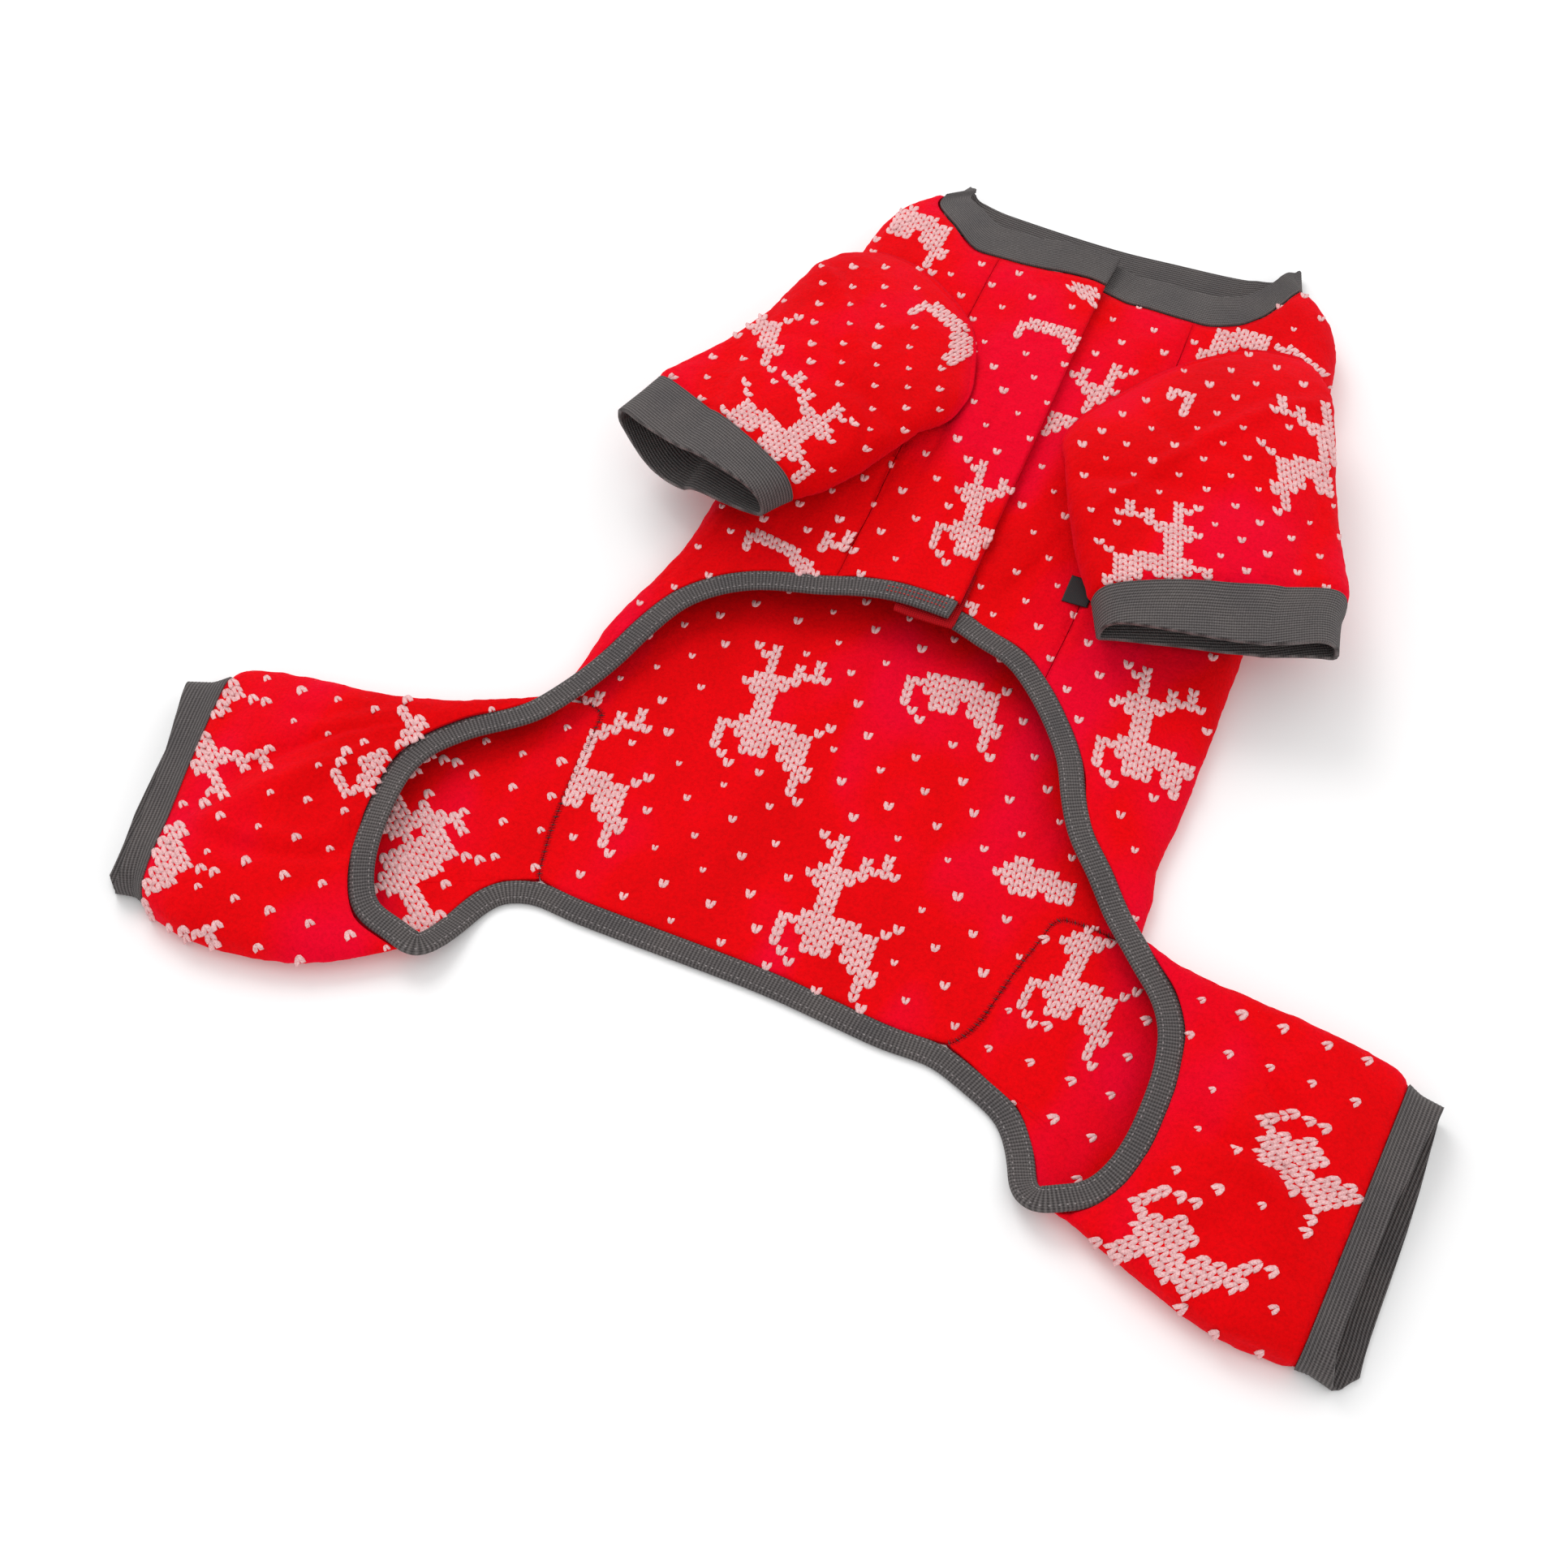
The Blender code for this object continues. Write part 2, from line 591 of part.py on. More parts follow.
def sleeve(name, b, t):
    """The middle of a sleeve's cloth: t is 0 at the armhole and 1 at the cuff's seam."""
    middle, way, outer = sleeve_side(name)
    lift, outer_lift, sag, reach = SLEEVE_MOUTHS[name]
    b = np.mod(b, 1.0)
    t = np.asarray(t, dtype=float)
    rows = closed(SLEEVE_ROOT_LEFT if name == "left" else SLEEVE_ROOT_RIGHT)
    start = np.stack([track(rows, 1, b) * BODY_WIDTH, track(rows, 2, b) * BODY_LENGTH], axis=-1)
    across, up = section(b)
    end = middle + way * SLEEVE_LENGTH - outer * (across[..., None] * SLEEVE_CUFF_FLAT / 2)
    plan = start + (end - start) * t[..., None]
    spread = track(SLEEVE_FORM, 2 if name == "left" else 3, t)
    wide = (smoothstep((-across + 0.2) / 1.2) * spread
            - smoothstep((across + 0.2) / 1.2) * track(SLEEVE_FORM, 4, t)) * SLEEVE_CUFF_FLAT
    lower = np.maximum(1 - across ** 2, 0) * (1 - smoothstep(up / 0.3)) * smoothstep((t - 0.6) / 0.6)
    plan = plan + outer * wide[..., None] + way * (lower * reach * SLEEVE_HEIGHT)[..., None]
    x, y = plan[..., 0], plan[..., 1]
    under = highest_near(x, y, 4 * FLEECE, 2.4 * FLEECE)
    here = highest_near(x, y, 1.2 * FLEECE, 1.2 * FLEECE)
    loose = smoothstep(t / (0.10 + 0.15 * up))
    rest = here + (under - here) * loose + 1.4 * SEAM_GAP + FLEECE / 2 + SLEEVE_CLEAR * loose
    free = SLEEVE_FREE - lower * sag * SLEEVE_HEIGHT
    base = SLEEVE_DRAPE * np.logaddexp(rest / SLEEVE_DRAPE, free / SLEEVE_DRAPE)
    base = rest + (base - rest) * loose
    rise = track(SLEEVE_FORM, 1, t) * SLEEVE_HEIGHT * np.maximum(up, 0) ** SLEEVE_ROUND
    rise = rise + smoothstep((t - 0.75) / 0.5) * SLEEVE_HEIGHT * (lift + outer_lift * smoothstep(-across))
    upper = smoothstep((up - 0.55) / 0.4)
    for around, along, turn, length, width, height in SLEEVE_FOLDS:
        run = (t - along) / length
        fold = np.exp(-run ** 2 - ((b - around - turn * run) / width) ** 2)
        rise = rise + upper * height * SLEEVE_HEIGHT * fold
    return np.concatenate([plan, (base + rise)[..., None]], axis=-1)


def collar(a, t):
    """The middle of the collar's band: t is 0 at the neck's seam and 1 at its free edge."""
    turn = np.mod(a, 1.0)
    neck = body_ends(turn)[0]
    start = body(turn, neck)
    lean = track(MOUTH, 1, turn) * COLLAR_WIDTH
    reach = track(MOUTH, 2, turn) * COLLAR_WIDTH
    height = track(MOUTH, 3, turn) * COLLAR_RISE
    across, up = section(turn)
    end = np.stack([start[..., 0] - np.sign(across) * lean, start[..., 1] + reach, RIB / 2 + height], axis=-1)
    start[..., 2] -= (FLEECE - RIB) / 2 * (up <= 0)
    raised = SEAM_GAP + 0.7 * FLEECE * smoothstep(up / 0.3)
    t = np.asarray(t, dtype=float)
    t = t + (1 - t) * raised / COLLAR_WIDTH
    point = start + (end - start) * t[..., None]
    upper = smoothstep((up - 0.55) / 0.4)
    left = placket_lift(point[..., 0], -1)
    right = placket_lift(point[..., 0], 1)
    point[..., 2] += upper * np.where(a > 0.75, left, np.where(a < 0.5, right, 0.0))
    return point


def normals(surface, u, v):
    """The unit normals of a surface given as a function of two places."""
    step = 1e-4
    du = surface(u + step, v) - surface(u - step, v)
    dv = surface(u, v + step) - surface(u, v - step)
    n = np.cross(du, dv)
    return n / np.maximum(np.linalg.norm(n, axis=-1, keepdims=True), 1e-15)


def material(name):
    colour, roughness = MATERIALS[name]
    made = bpy.data.materials.get(name)
    if made is None:
        made = bpy.data.materials.new(name)
        made.use_nodes = True
        shader = made.node_tree.nodes["Principled BSDF"]
        shader.inputs["Base Color"].default_value = (*colour, 1)
        shader.inputs["Roughness"].default_value = roughness
        shader.inputs["Metallic"].default_value = 0.0
        made.diffuse_color = (*colour, 1)
    return made


def volume(points, faces):
    total = 0.0
    for face in faces:
        first = points[face[0]]
        for i in range(1, len(face) - 1):
            total += np.dot(first, np.cross(points[face[i]], points[face[i + 1]])) / 6
    return total


def add_object(name, points, faces, look):
    if volume(points, faces) < 0:
        faces = [tuple(reversed(face)) for face in faces]
    mesh = bpy.data.meshes.new(name)
    mesh.from_pydata([tuple(p) for p in points], [], faces)
    mesh.update()
    mesh.shade_smooth()
    mesh.set_sharp_from_angle(angle=math.radians(50))
    mesh.materials.append(material(look))
    piece = bpy.data.objects.new(name, mesh)
    bpy.context.scene.collection.objects.link(piece)
    return piece


def shell(name, surface, u, v, wall, look, ring=False):
    """Makes a closed sheet of even thickness from a surface, over the places u by v."""
    uu, vv = np.meshgrid(u, v, indexing="ij")
    middle = surface(uu, vv)
    n = normals(surface, uu, vv)
    outer, inner = middle + n * wall / 2, middle - n * wall / 2
    rows, columns = uu.shape
    points = np.concatenate([outer.reshape(-1, 3), inner.reshape(-1, 3)])
    half = rows * columns
    faces = []
    span = rows if ring else rows - 1
    for i in range(span):
        k = (i + 1) % rows
        for j in range(columns - 1):
            a, b, c, d = i * columns + j, k * columns + j, k * columns + j + 1, i * columns + j + 1
            faces.append((a, b, c, d))
            faces.append((half + d, half + c, half + b, half + a))
        for j, flip in ((0, False), (columns - 1, True)):
            a, b = i * columns + j, k * columns + j
            side = (half + a, half + b, b, a)
            faces.append(tuple(reversed(side)) if flip else side)
    if not ring:
        for i, flip in ((0, True), (rows - 1, False)):
            for j in range(columns - 1):
                a, b = i * columns + j, i * columns + j + 1
                side = (half + a, half + b, b, a)
                faces.append(tuple(reversed(side)) if flip else side)
    return add_object(name, points, faces, look)


def spaced(start, end, count):
    return np.linspace(start, end, count)


def joined(*runs):
    """Joins runs of places end to end, with each shared place once."""
    places = list(runs[0])
    for run in runs[1:]:
        places += list(run[1:])
    return np.array(places)


def across_share(x, share):
    """The place around the body's top that lies at x, at a length along it."""
    left = track(BODY, 1, share) * BODY_WIDTH
    right = track(BODY, 2, share) * BODY_WIDTH
    across = (x - (left + right) / 2) / ((right - left) / 2)
    rows = [(row[1], row[0]) for row in SECTION if 0.0 <= row[0] <= 0.5]
    return float(track(rows, 1, across))


PLACKET_PLACE = across_share(PLACKET_EDGE, PLACKET_MIDWAY)
UNDER_PLACE = across_share(PLACKET_EDGE - PLACKET_OVERLAP, PLACKET_MIDWAY)


def cut_armhole(piece, name):
    """Opens the upper layer under a sleeve's root, a little inside the root's own ring."""
    rows = closed(SLEEVE_ROOT_LEFT if name == "left" else SLEEVE_ROOT_RIGHT)
    places = np.linspace(0, 1, 28, endpoint=False)
    x = track(rows, 1, places) * BODY_WIDTH
    y = track(rows, 2, places) * BODY_LENGTH
    ring = np.stack([x, y], axis=-1)
    long_way = ring[0] - ring[14]
    long_way /= np.linalg.norm(long_way)
    short_way = np.array([-long_way[1], long_way[0]])
    centre = (ring.max(axis=0) + ring.min(axis=0)) / 2
    along, across = (ring - centre) @ long_way, (ring - centre) @ short_way
    inset = 1.6 * (FLEECE / 2 + ARMHOLE_MARGIN)
    mid_along, mid_across = (along.max() + along.min()) / 2, (across.max() + across.min()) / 2
    along = mid_along + (along - mid_along) * (1 - 2 * inset / np.ptp(along))
    across = mid_across + (across - mid_across) * (1 - 2 * inset / np.ptp(across))
    ring = centre + along[:, None] * long_way + across[:, None] * short_way
    low, high = 0.35 * BODY_HEIGHT, 3 * BODY_HEIGHT
    count = len(ring)
    points = [(px, py, low) for px, py in ring] + [(px, py, high) for px, py in ring]
    faces = [tuple(range(count)), tuple(range(count, 2 * count))[::-1]]
    for i in range(count):
        k = (i + 1) % count
        faces.append((k, i, count + i, count + k))
    points = np.array(points)
    cutter = add_object("cutter_" + name + "_" + piece.name, points, faces, "red_fleece")
    cutter.hide_render = True
    cutter.display_type = "WIRE"
    cut = piece.modifiers.new("armhole", "BOOLEAN")
    cut.operation = "DIFFERENCE"
    cut.solver = "EXACT"
    cut.object = cutter


def binding_path():
    """The middle line of the binding, from its upper end at the placket right round to its lower end."""
    reach = BINDING_WIDTH / 2 + 2 * SEAM_GAP
    places = []

    def add_hem(side, at, towards):
        def curve(a):
            return body(a, body_ends(a)[1], side)
        at = np.array(at)
        points = curve(at)
        away = plan_normal(curve, at)
        aim = np.array(towards) - points[..., :2]
        away = away * np.sign(np.sum(aim * away[..., :2], axis=-1, keepdims=True))
        places.extend((points + away * reach).tolist())

    def add_leg(name, at):
        at = np.array(at)
        step = 2e-3
        start = 0 * at
        points = leg(name, at, start)
        run = leg(name, at + step, start) - leg(name, at - step, start)
        run /= np.linalg.norm(run, axis=-1, keepdims=True)
        inward = leg(name, at, start + 0.1) - points
        inward -= run * np.sum(inward * run, axis=-1, keepdims=True)
        inward /= np.linalg.norm(inward, axis=-1, keepdims=True)
        wider = 1 + 0.30 * np.exp(-((at - 0.49) / 0.03) ** 2)[..., None]
        places.extend((points - inward * reach * wider).tolist())

    def add_corner(name, at):
        def curve(b):
            return leg_root(name, b)
        at = np.array(at)
        points = curve(at)
        away = plan_normal(curve, at)
        away = away * -np.sign(away[..., 1:2])
        places.extend((points + away * reach).tolist())

    belly = (0.0, 0.1 * BODY_LENGTH)
    behind = (0.0, -BODY_LENGTH)
    add_hem(-1, joined(spaced(PLACKET_PLACE - 0.001, 0.06, 14), (0.06, 0.047, 0.036)), belly)
    add_leg("left", joined(spaced(0.045, 0.45, 15), spaced(0.45, 0.53, 6)))
    add_corner("left", (0.560, 0.580, 0.600))
    add_hem(0, spaced(CORNER_LEFT - 0.010, CORNER_RIGHT + 0.010, 12), behind)
    add_corner("right", (0.600, 0.580, 0.560))
    add_leg("right", joined(spaced(0.53, 0.45, 6), spaced(0.45, 0.045, 15)))
    add_hem(1, spaced(0.460, UNDER_PLACE + 0.004, 16), belly)
    path = np.array(places)
    path[:, 2] = np.maximum(path[:, 2], BINDING_THICK / 2)
    return path


def even(path, count, soften=0):
    """Spreads points evenly along a smooth curve through the path."""
    for _ in range(soften):
        middle = path[1:-1] * 0.5 + (path[:-2] + path[2:]) * 0.25
        path = np.concatenate([path[:1], middle, path[-1:]])
    run = np.concatenate([[0], np.cumsum(np.linalg.norm(np.diff(path, axis=0), axis=1))])
    rows = [(r, *p) for r, p in zip(run, path)]
    at = np.linspace(0, run[-1], count)
    return np.stack([track(rows, k, at) for k in (1, 2, 3)], axis=-1)


def binding(name, count, sides):
    path = even(even(binding_path(), 500), count, soften=10)
    run = np.gradient(path, axis=0)
    run /= np.linalg.norm(run, axis=1, keepdims=True)
    wide = np.stack([-run[:, 1], run[:, 0], 0 * run[:, 0]], axis=-1)
    wide /= np.linalg.norm(wide, axis=1, keepdims=True)
    thin = np.cross(run, wide)
    points = []
    for k in range(count):
        for s in range(sides):
            angle = 2 * math.pi * (s + 0.5) / sides
            c, d = math.cos(angle), math.sin(angle)
            across = math.copysign(abs(c) ** 0.6, c) * BINDING_WIDTH / 2
            up = math.copysign(abs(d) ** 0.8, d) * BINDING_THICK / 2
            points.append(path[k] + wide[k] * across + thin[k] * up)
    faces = []
    for k in range(count - 1):
        for s in range(sides):
            e = (s + 1) % sides
            faces.append((k * sides + s, k * sides + e, (k + 1) * sides + e, (k + 1) * sides + s))
    faces.append(tuple(reversed(range(sides))))
    faces.append(tuple(range((count - 1) * sides, count * sides)))
    return add_object(name, np.array(points), faces, "grey_rib")


def plate(name, corners, top, bottom, thick, look, cells):
    """Makes a thin patch between four corners in plan; its height follows the cloth between two others."""
    (x0, y0), (x1, y1), (x2, y2), (x3, y3) = corners

    def surface(u, v):
        x = (x0 * (1 - u) + x1 * u) * (1 - v) + (x3 * (1 - u) + x2 * u) * v
        y = (y0 * (1 - u) + y1 * u) * (1 - v) + (y3 * (1 - u) + y2 * u) * v
        z = top(x, y) if bottom is None else (top(x, y) + bottom(x, y)) / 2
        return np.stack(np.broadcast_arrays(x, y, z), axis=-1)

    return shell(name, surface, spaced(0, 1, cells[0]), spaced(0, 1, cells[1]), thick, look)


def height_of(x, y, side):
    """Height of the middle of the body's upper cloth over places in plan."""
    if side > 0:
        drop = placket_lift(x, 1)
    else:
        drop = placket_lift(x, -1)
    return body_top(x, y) - FLEECE / 2 - placket_lift(x, -1) * (x < PLACKET_EDGE) + drop


def centre_all():
    """Hangs every object on an empty that puts the middle of their footprint at the origin."""
    pieces = [piece for piece in bpy.data.objects if piece.type == "MESH"]
    shown = [piece for piece in pieces if not piece.hide_render]
    points = np.array([tuple(vertex.co) for piece in shown for vertex in piece.data.vertices])
    low, high = points.min(axis=0), points.max(axis=0)
    origin = bpy.data.objects.new("jumpsuit_origin", None)
    bpy.context.scene.collection.objects.link(origin)
    origin.location = (-(low[0] + high[0]) / 2, -(low[1] + high[1]) / 2, -low[2])
    for piece in pieces:
        piece.parent = origin


def build():
    for old in list(bpy.data.objects):
        bpy.data.objects.remove(old)

    around_gap = SEAM_GAP / 2 / (BODY_WIDTH * 2)
    along_gap = SEAM_GAP / BODY_LENGTH
    long_places = joined(spaced(along_gap, 0.10, 3), spaced(0.10, 0.80, 8), spaced(0.80, 1 - along_gap, 4))

    right_seam, left_seam = 0.5 - CHEST_SEAM - around_gap, CHEST_SEAM + around_gap
    back_around = joined(
        spaced(0.5 - CHEST_SEAM + around_gap, 0.5 - FOLD_SHARE, 6), spaced(0.5 - FOLD_SHARE, 0.5, 6),
        [cut[0] for cut in SEAM_RIGHT[::-1]], spaced(CORNER_RIGHT, CORNER_LEFT, 7),
        [cut[0] for cut in SEAM_LEFT], spaced(1.0, 1.0 + FOLD_SHARE, 6),
        spaced(1.0 + FOLD_SHARE, 1 + CHEST_SEAM - around_gap, 5))
    back = shell("back_panel", torso, back_around, long_places, FLEECE, "red_fleece")

    def left_chest(a, t):
        return torso(a, t, -1)

    def right_chest(a, t):
        return torso(a, t, 1)

    left_around = spaced(left_seam, PLACKET_PLACE, 7)
    left = shell("left_chest_panel", left_chest, left_around, long_places, FLEECE, "red_fleece")
    right_around = spaced(UNDER_PLACE, right_seam, 8)
    right = shell("right_chest_panel", right_chest, right_around, long_places, FLEECE, "red_fleece")
    cut_armhole(back, "left")
    cut_armhole(back, "right")
    cut_armhole(left, "left")
    cut_armhole(right, "right")

    collar_around = np.concatenate([right_around[:-1], back_around, left_around[1:] + 1])
    shell("collar", collar, collar_around, spaced(0.0, 1.0, 3), RIB, "grey_rib")

    corner_start = LEG_SEAM - LEG_CORNER
    edge_ring = joined(spaced(0.0, 0.03, 3), spaced(0.03, 0.10, 3), spaced(0.10, 0.40, 7),
                       spaced(0.40, 0.47, 4), spaced(0.47, corner_start, 6),
                       spaced(corner_start, LEG_SEAM - LEG_CORNER / 3, 3))
    seam_share = SEAM_GAP / LEG_LENGTH / 2
    for side, cuts in (("left", SEAM_LEFT), ("right", SEAM_RIGHT)):
        def surface(b, t, side=side):
            return leg(side, b, t)
        ring = np.concatenate([edge_ring, spaced(LEG_SEAM, 1.0, len(cuts))[:-1]])
        along = spaced(0.0, 1 - seam_share, 7)
        shell(side + "_hind_leg", surface, ring, along, FLEECE, "red_fleece", ring=True)
        cuff_end = 1 + LEG_CUFF_WIDTH / LEG_LENGTH
        along = spaced(1 + seam_share, cuff_end, 3)
        shell(side + "_leg_cuff", surface, ring, along, RIB, "grey_rib", ring=True)

    sleeve_ring = joined(spaced(0.0, 0.04, 3), spaced(0.04, 0.12, 3), spaced(0.12, 0.40, 6),
                         spaced(0.40, 0.47, 3), spaced(0.47, 0.53, 4), spaced(0.53, 0.96, 8),
                         spaced(0.96, 1.0, 3))[:-1]
    seam_share = SEAM_GAP / SLEEVE_LENGTH / 2
    for side in ("left", "right"):
        def surface(b, t, side=side):
            return sleeve(side, b, t)
        along = joined((0.0, 0.05, 0.12), spaced(0.12, 1 - seam_share, 6))
        shell(side + "_sleeve", surface, sleeve_ring, along, FLEECE, "red_fleece", ring=True)
        cuff_end = 1 + SLEEVE_CUFF_WIDTH / SLEEVE_LENGTH
        along = spaced(1 + seam_share, cuff_end, 3)
        shell(side + "_sleeve_cuff", surface, sleeve_ring, along, RIB, "grey_rib", ring=True)

    binding("opening_binding", 110, 6)

    hem = float(body_ends(PLACKET_PLACE)[1])
    low = hem - BINDING_WIDTH - TAB_SHOWS
    tab_right = PLACKET_EDGE + TAB_PAST
    corners = ((tab_right - TAB_WIDTH, low), (tab_right, low), (tab_right, low + TAB_LENGTH),
               (tab_right - TAB_WIDTH, low + TAB_LENGTH))
    plate("closure_tab", corners, lambda x, y: height_of(x, np.maximum(y, hem), -1),
          lambda x, y: height_of(x, np.maximum(y, hem), 1), TAB_THICK, "red_closure", (7, 5))

    along, across = LABEL_PLACE[1] * BODY_LENGTH, LABEL_PLACE[0] * BODY_WIDTH
    corners = ((across, along), (across + LABEL_WIDTH, along), (across + LABEL_WIDTH, along + LABEL_LENGTH),
               (across, along + LABEL_LENGTH))
    over = FLEECE / 2 + LABEL_THICK / 2 + 1.3 * SEAM_GAP
    plate("side_label", corners, lambda x, y: height_of(x, y, 1) + over, None, LABEL_THICK,
          "dark_label", (4, 4))
    centre_all()


build()
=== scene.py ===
# The looks of the dog jumpsuit: plush fleece with a knitted reindeer pattern, and rib-knit bands.
# It lies on its back with the belly side up. +X is the photograph's right, +Y is towards the neck.
# "around" is the place on a tube's ring: 0 is one fold, 0.25 the top, 0.5 the other fold, 0.75 the floor.

import bpy
import math
import numpy as np
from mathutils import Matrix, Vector
from mathutils.bvhtree import BVHTree


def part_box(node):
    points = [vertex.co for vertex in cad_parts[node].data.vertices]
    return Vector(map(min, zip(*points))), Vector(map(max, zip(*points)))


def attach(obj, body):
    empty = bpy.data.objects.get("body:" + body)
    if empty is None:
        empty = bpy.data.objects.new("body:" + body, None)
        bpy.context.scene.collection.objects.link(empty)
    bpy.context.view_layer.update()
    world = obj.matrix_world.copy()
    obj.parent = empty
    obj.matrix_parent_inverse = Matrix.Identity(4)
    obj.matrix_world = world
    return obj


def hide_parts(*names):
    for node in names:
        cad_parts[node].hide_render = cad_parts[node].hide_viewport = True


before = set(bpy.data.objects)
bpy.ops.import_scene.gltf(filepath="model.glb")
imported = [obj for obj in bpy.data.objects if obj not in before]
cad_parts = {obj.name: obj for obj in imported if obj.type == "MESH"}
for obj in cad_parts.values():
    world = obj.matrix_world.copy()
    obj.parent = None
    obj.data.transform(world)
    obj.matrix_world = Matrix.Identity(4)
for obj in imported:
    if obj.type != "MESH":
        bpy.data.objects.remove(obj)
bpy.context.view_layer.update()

# Body
BODY_LENGTH = 0.485          # rump edge to the back of the neck
BODY_WIDTH = 0.296           # laid flat across the hips
BODY_HEIGHT = 0.034          # floor to the top of the chest
FLEECE = 0.0026              # thickness of the plush cloth
SEAM_GAP = 0.0003            # between two sewn pieces
CHEST_SEAM = 0.166           # around, where the chest panels meet the back panel

# Placket
PLACKET_EDGE = 0.014         # the upper layer's edge, right of the middle
PLACKET_OVERLAP = 0.027      # how far the lower layer runs on under it
PLACKET_LIFT = 0.0027        # the upper layer rises and the lower one sinks by this much
PLACKET_EASE = 0.026         # length over which they do
PLACKET_MARGIN = 0.002       # the lower layer stays down this much past the upper one's edge
PLACKET_MIDWAY = 0.66        # along the body, where the placket's places around it are taken

# Rib knit
RIB = 0.0020                 # thickness of the doubled bands
COLLAR_WIDTH = 0.030
COLLAR_RISE = 0.030          # height of the neck's mouth at the front
SLEEVE_CUFF_WIDTH = 0.026
LEG_CUFF_WIDTH = 0.018

# Binding
BINDING_WIDTH = 0.0100
BINDING_THICK = 0.0032

# Sleeves
SLEEVE_LENGTH = 0.126        # armhole to cuff seam
SLEEVE_CUFF_FLAT = 0.113     # the cuff laid flat
SLEEVE_HEIGHT = 0.020        # between its two layers
SLEEVE_ROUND = 1.35          # how round its upper layer is, where 1 is the lying section
SLEEVE_FREE = 0.029          # height of its lower layer where nothing is under it
SLEEVE_CLEAR = 0.0020        # room between the sleeve and the body under it
SLEEVE_DRAPE = 0.007         # how softly it bends where it leaves the body

# Hind legs
LEG_LENGTH = 0.136           # hip to cuff seam
LEG_CUFF_FLAT = 0.131
LEG_HEIGHT = 0.0175
LEG_PUFF = 0.007             # how much higher the leg is midway
LEG_BULGE = 0.017            # how far the rear fold bows out

# Small pieces
TAB_WIDTH = 0.031
TAB_LENGTH = 0.034
TAB_THICK = 0.0010
TAB_PAST = 0.002             # how far it reaches past the placket's edge
LABEL_PLACE = (0.200, 0.486) # its near corner, across (of BODY_WIDTH) and along (of BODY_LENGTH)
LABEL_WIDTH = 0.013
LABEL_LENGTH = 0.016
LABEL_THICK = 0.0005

# The lying section, from a fold to the middle: around, across, up
SECTION_TOP = (
    (0.0, 1.0, 0.3), (0.012, 0.99, 0.5), (0.03, 0.96, 0.7), (0.06, 0.885, 0.86), (0.1, 0.74, 0.945),
    (0.15, 0.5, 0.985), (0.2, 0.25, 0.998), (0.25, 0.0, 1.0),
)
SECTION_FLOOR = (
    (0.0125, 0.992, 0.13), (0.03, 0.965, 0.035), (0.05, 0.92, 0.0), (0.1, 0.74, 0.0), (0.25, 0.0, 0.0),
)

# The body, from the rump to the neck: along (of BODY_LENGTH), left, right (of BODY_WIDTH),
# height (of BODY_HEIGHT)
BODY = (
    (-0.06, -0.5, 0.507, 0.36), (0.12, -0.498, 0.505, 0.42), (0.2, -0.495, 0.503, 0.46),
    (0.245, -0.488, 0.492, 0.49), (0.3, -0.483, 0.499, 0.51), (0.396, -0.447, 0.5, 0.56),
    (0.45, -0.432, 0.5, 0.61), (0.51, -0.43, 0.5, 0.72), (0.61, -0.434, 0.5, 0.84),
    (0.715, -0.434, 0.496, 0.93), (0.82, -0.431, 0.486, 0.99), (0.89, -0.428, 0.481, 1.0),
    (0.945, -0.422, 0.472, 0.98), (0.985, -0.408, 0.453, 0.94), (1.02, -0.372, 0.412, 0.88),
    (1.045, -0.34, 0.372, 0.82), (1.11, -0.32, 0.352, 0.78),
)

# Both ends of the body's cloth: around, neck, hem (of BODY_LENGTH, from the rump)
BODY_ENDS = (
    (0.0, 1.043, 0.212), (0.012, 1.039, 0.222), (0.042, 1.03, 0.28), (0.064, 1.008, 0.361),
    (0.1125, 0.963, 0.41), (0.148, 0.926, 0.425), (0.197, 0.922, 0.443), (0.242, 0.928, 0.446),
    (0.264, 0.921, 0.441), (0.279, 0.913, 0.431), (0.306, 0.908, 0.419), (0.338, 0.904, 0.388),
    (0.366, 0.921, 0.346), (0.386, 0.95, 0.303), (0.397, 0.971, 0.27), (0.42, 1.004, 0.229),
    (0.455, 1.03, 0.186), (0.48, 1.04, 0.167), (0.5, 1.049, 0.161), (0.53, 1.044, 0.158),
    (0.55, 1.038, 0.157), (0.575, 1.03, 0.158), (0.59, 1.024, 0.157), (0.597, 1.02, 0.15),
    (0.603, 1.018, 0.12), (0.61, 1.016, 0.085), (0.62, 1.014, 0.02), (0.632, 1.01, -0.006),
    (0.66, 1.006, -0.01), (0.7, 1.003, -0.005), (0.75, 1.0, 0.001), (0.87, 1.011, 0.003),
    (0.9014, 1.018, 0.01), (0.908, 1.02, 0.035), (0.916, 1.022, 0.082), (0.922, 1.024, 0.14),
    (0.93, 1.027, 0.208), (0.96, 1.038, 0.216), (1.0, 1.043, 0.212),
)
CORNER_RIGHT = 0.6320        # around, where the rump edge ends
CORNER_LEFT = 0.9014

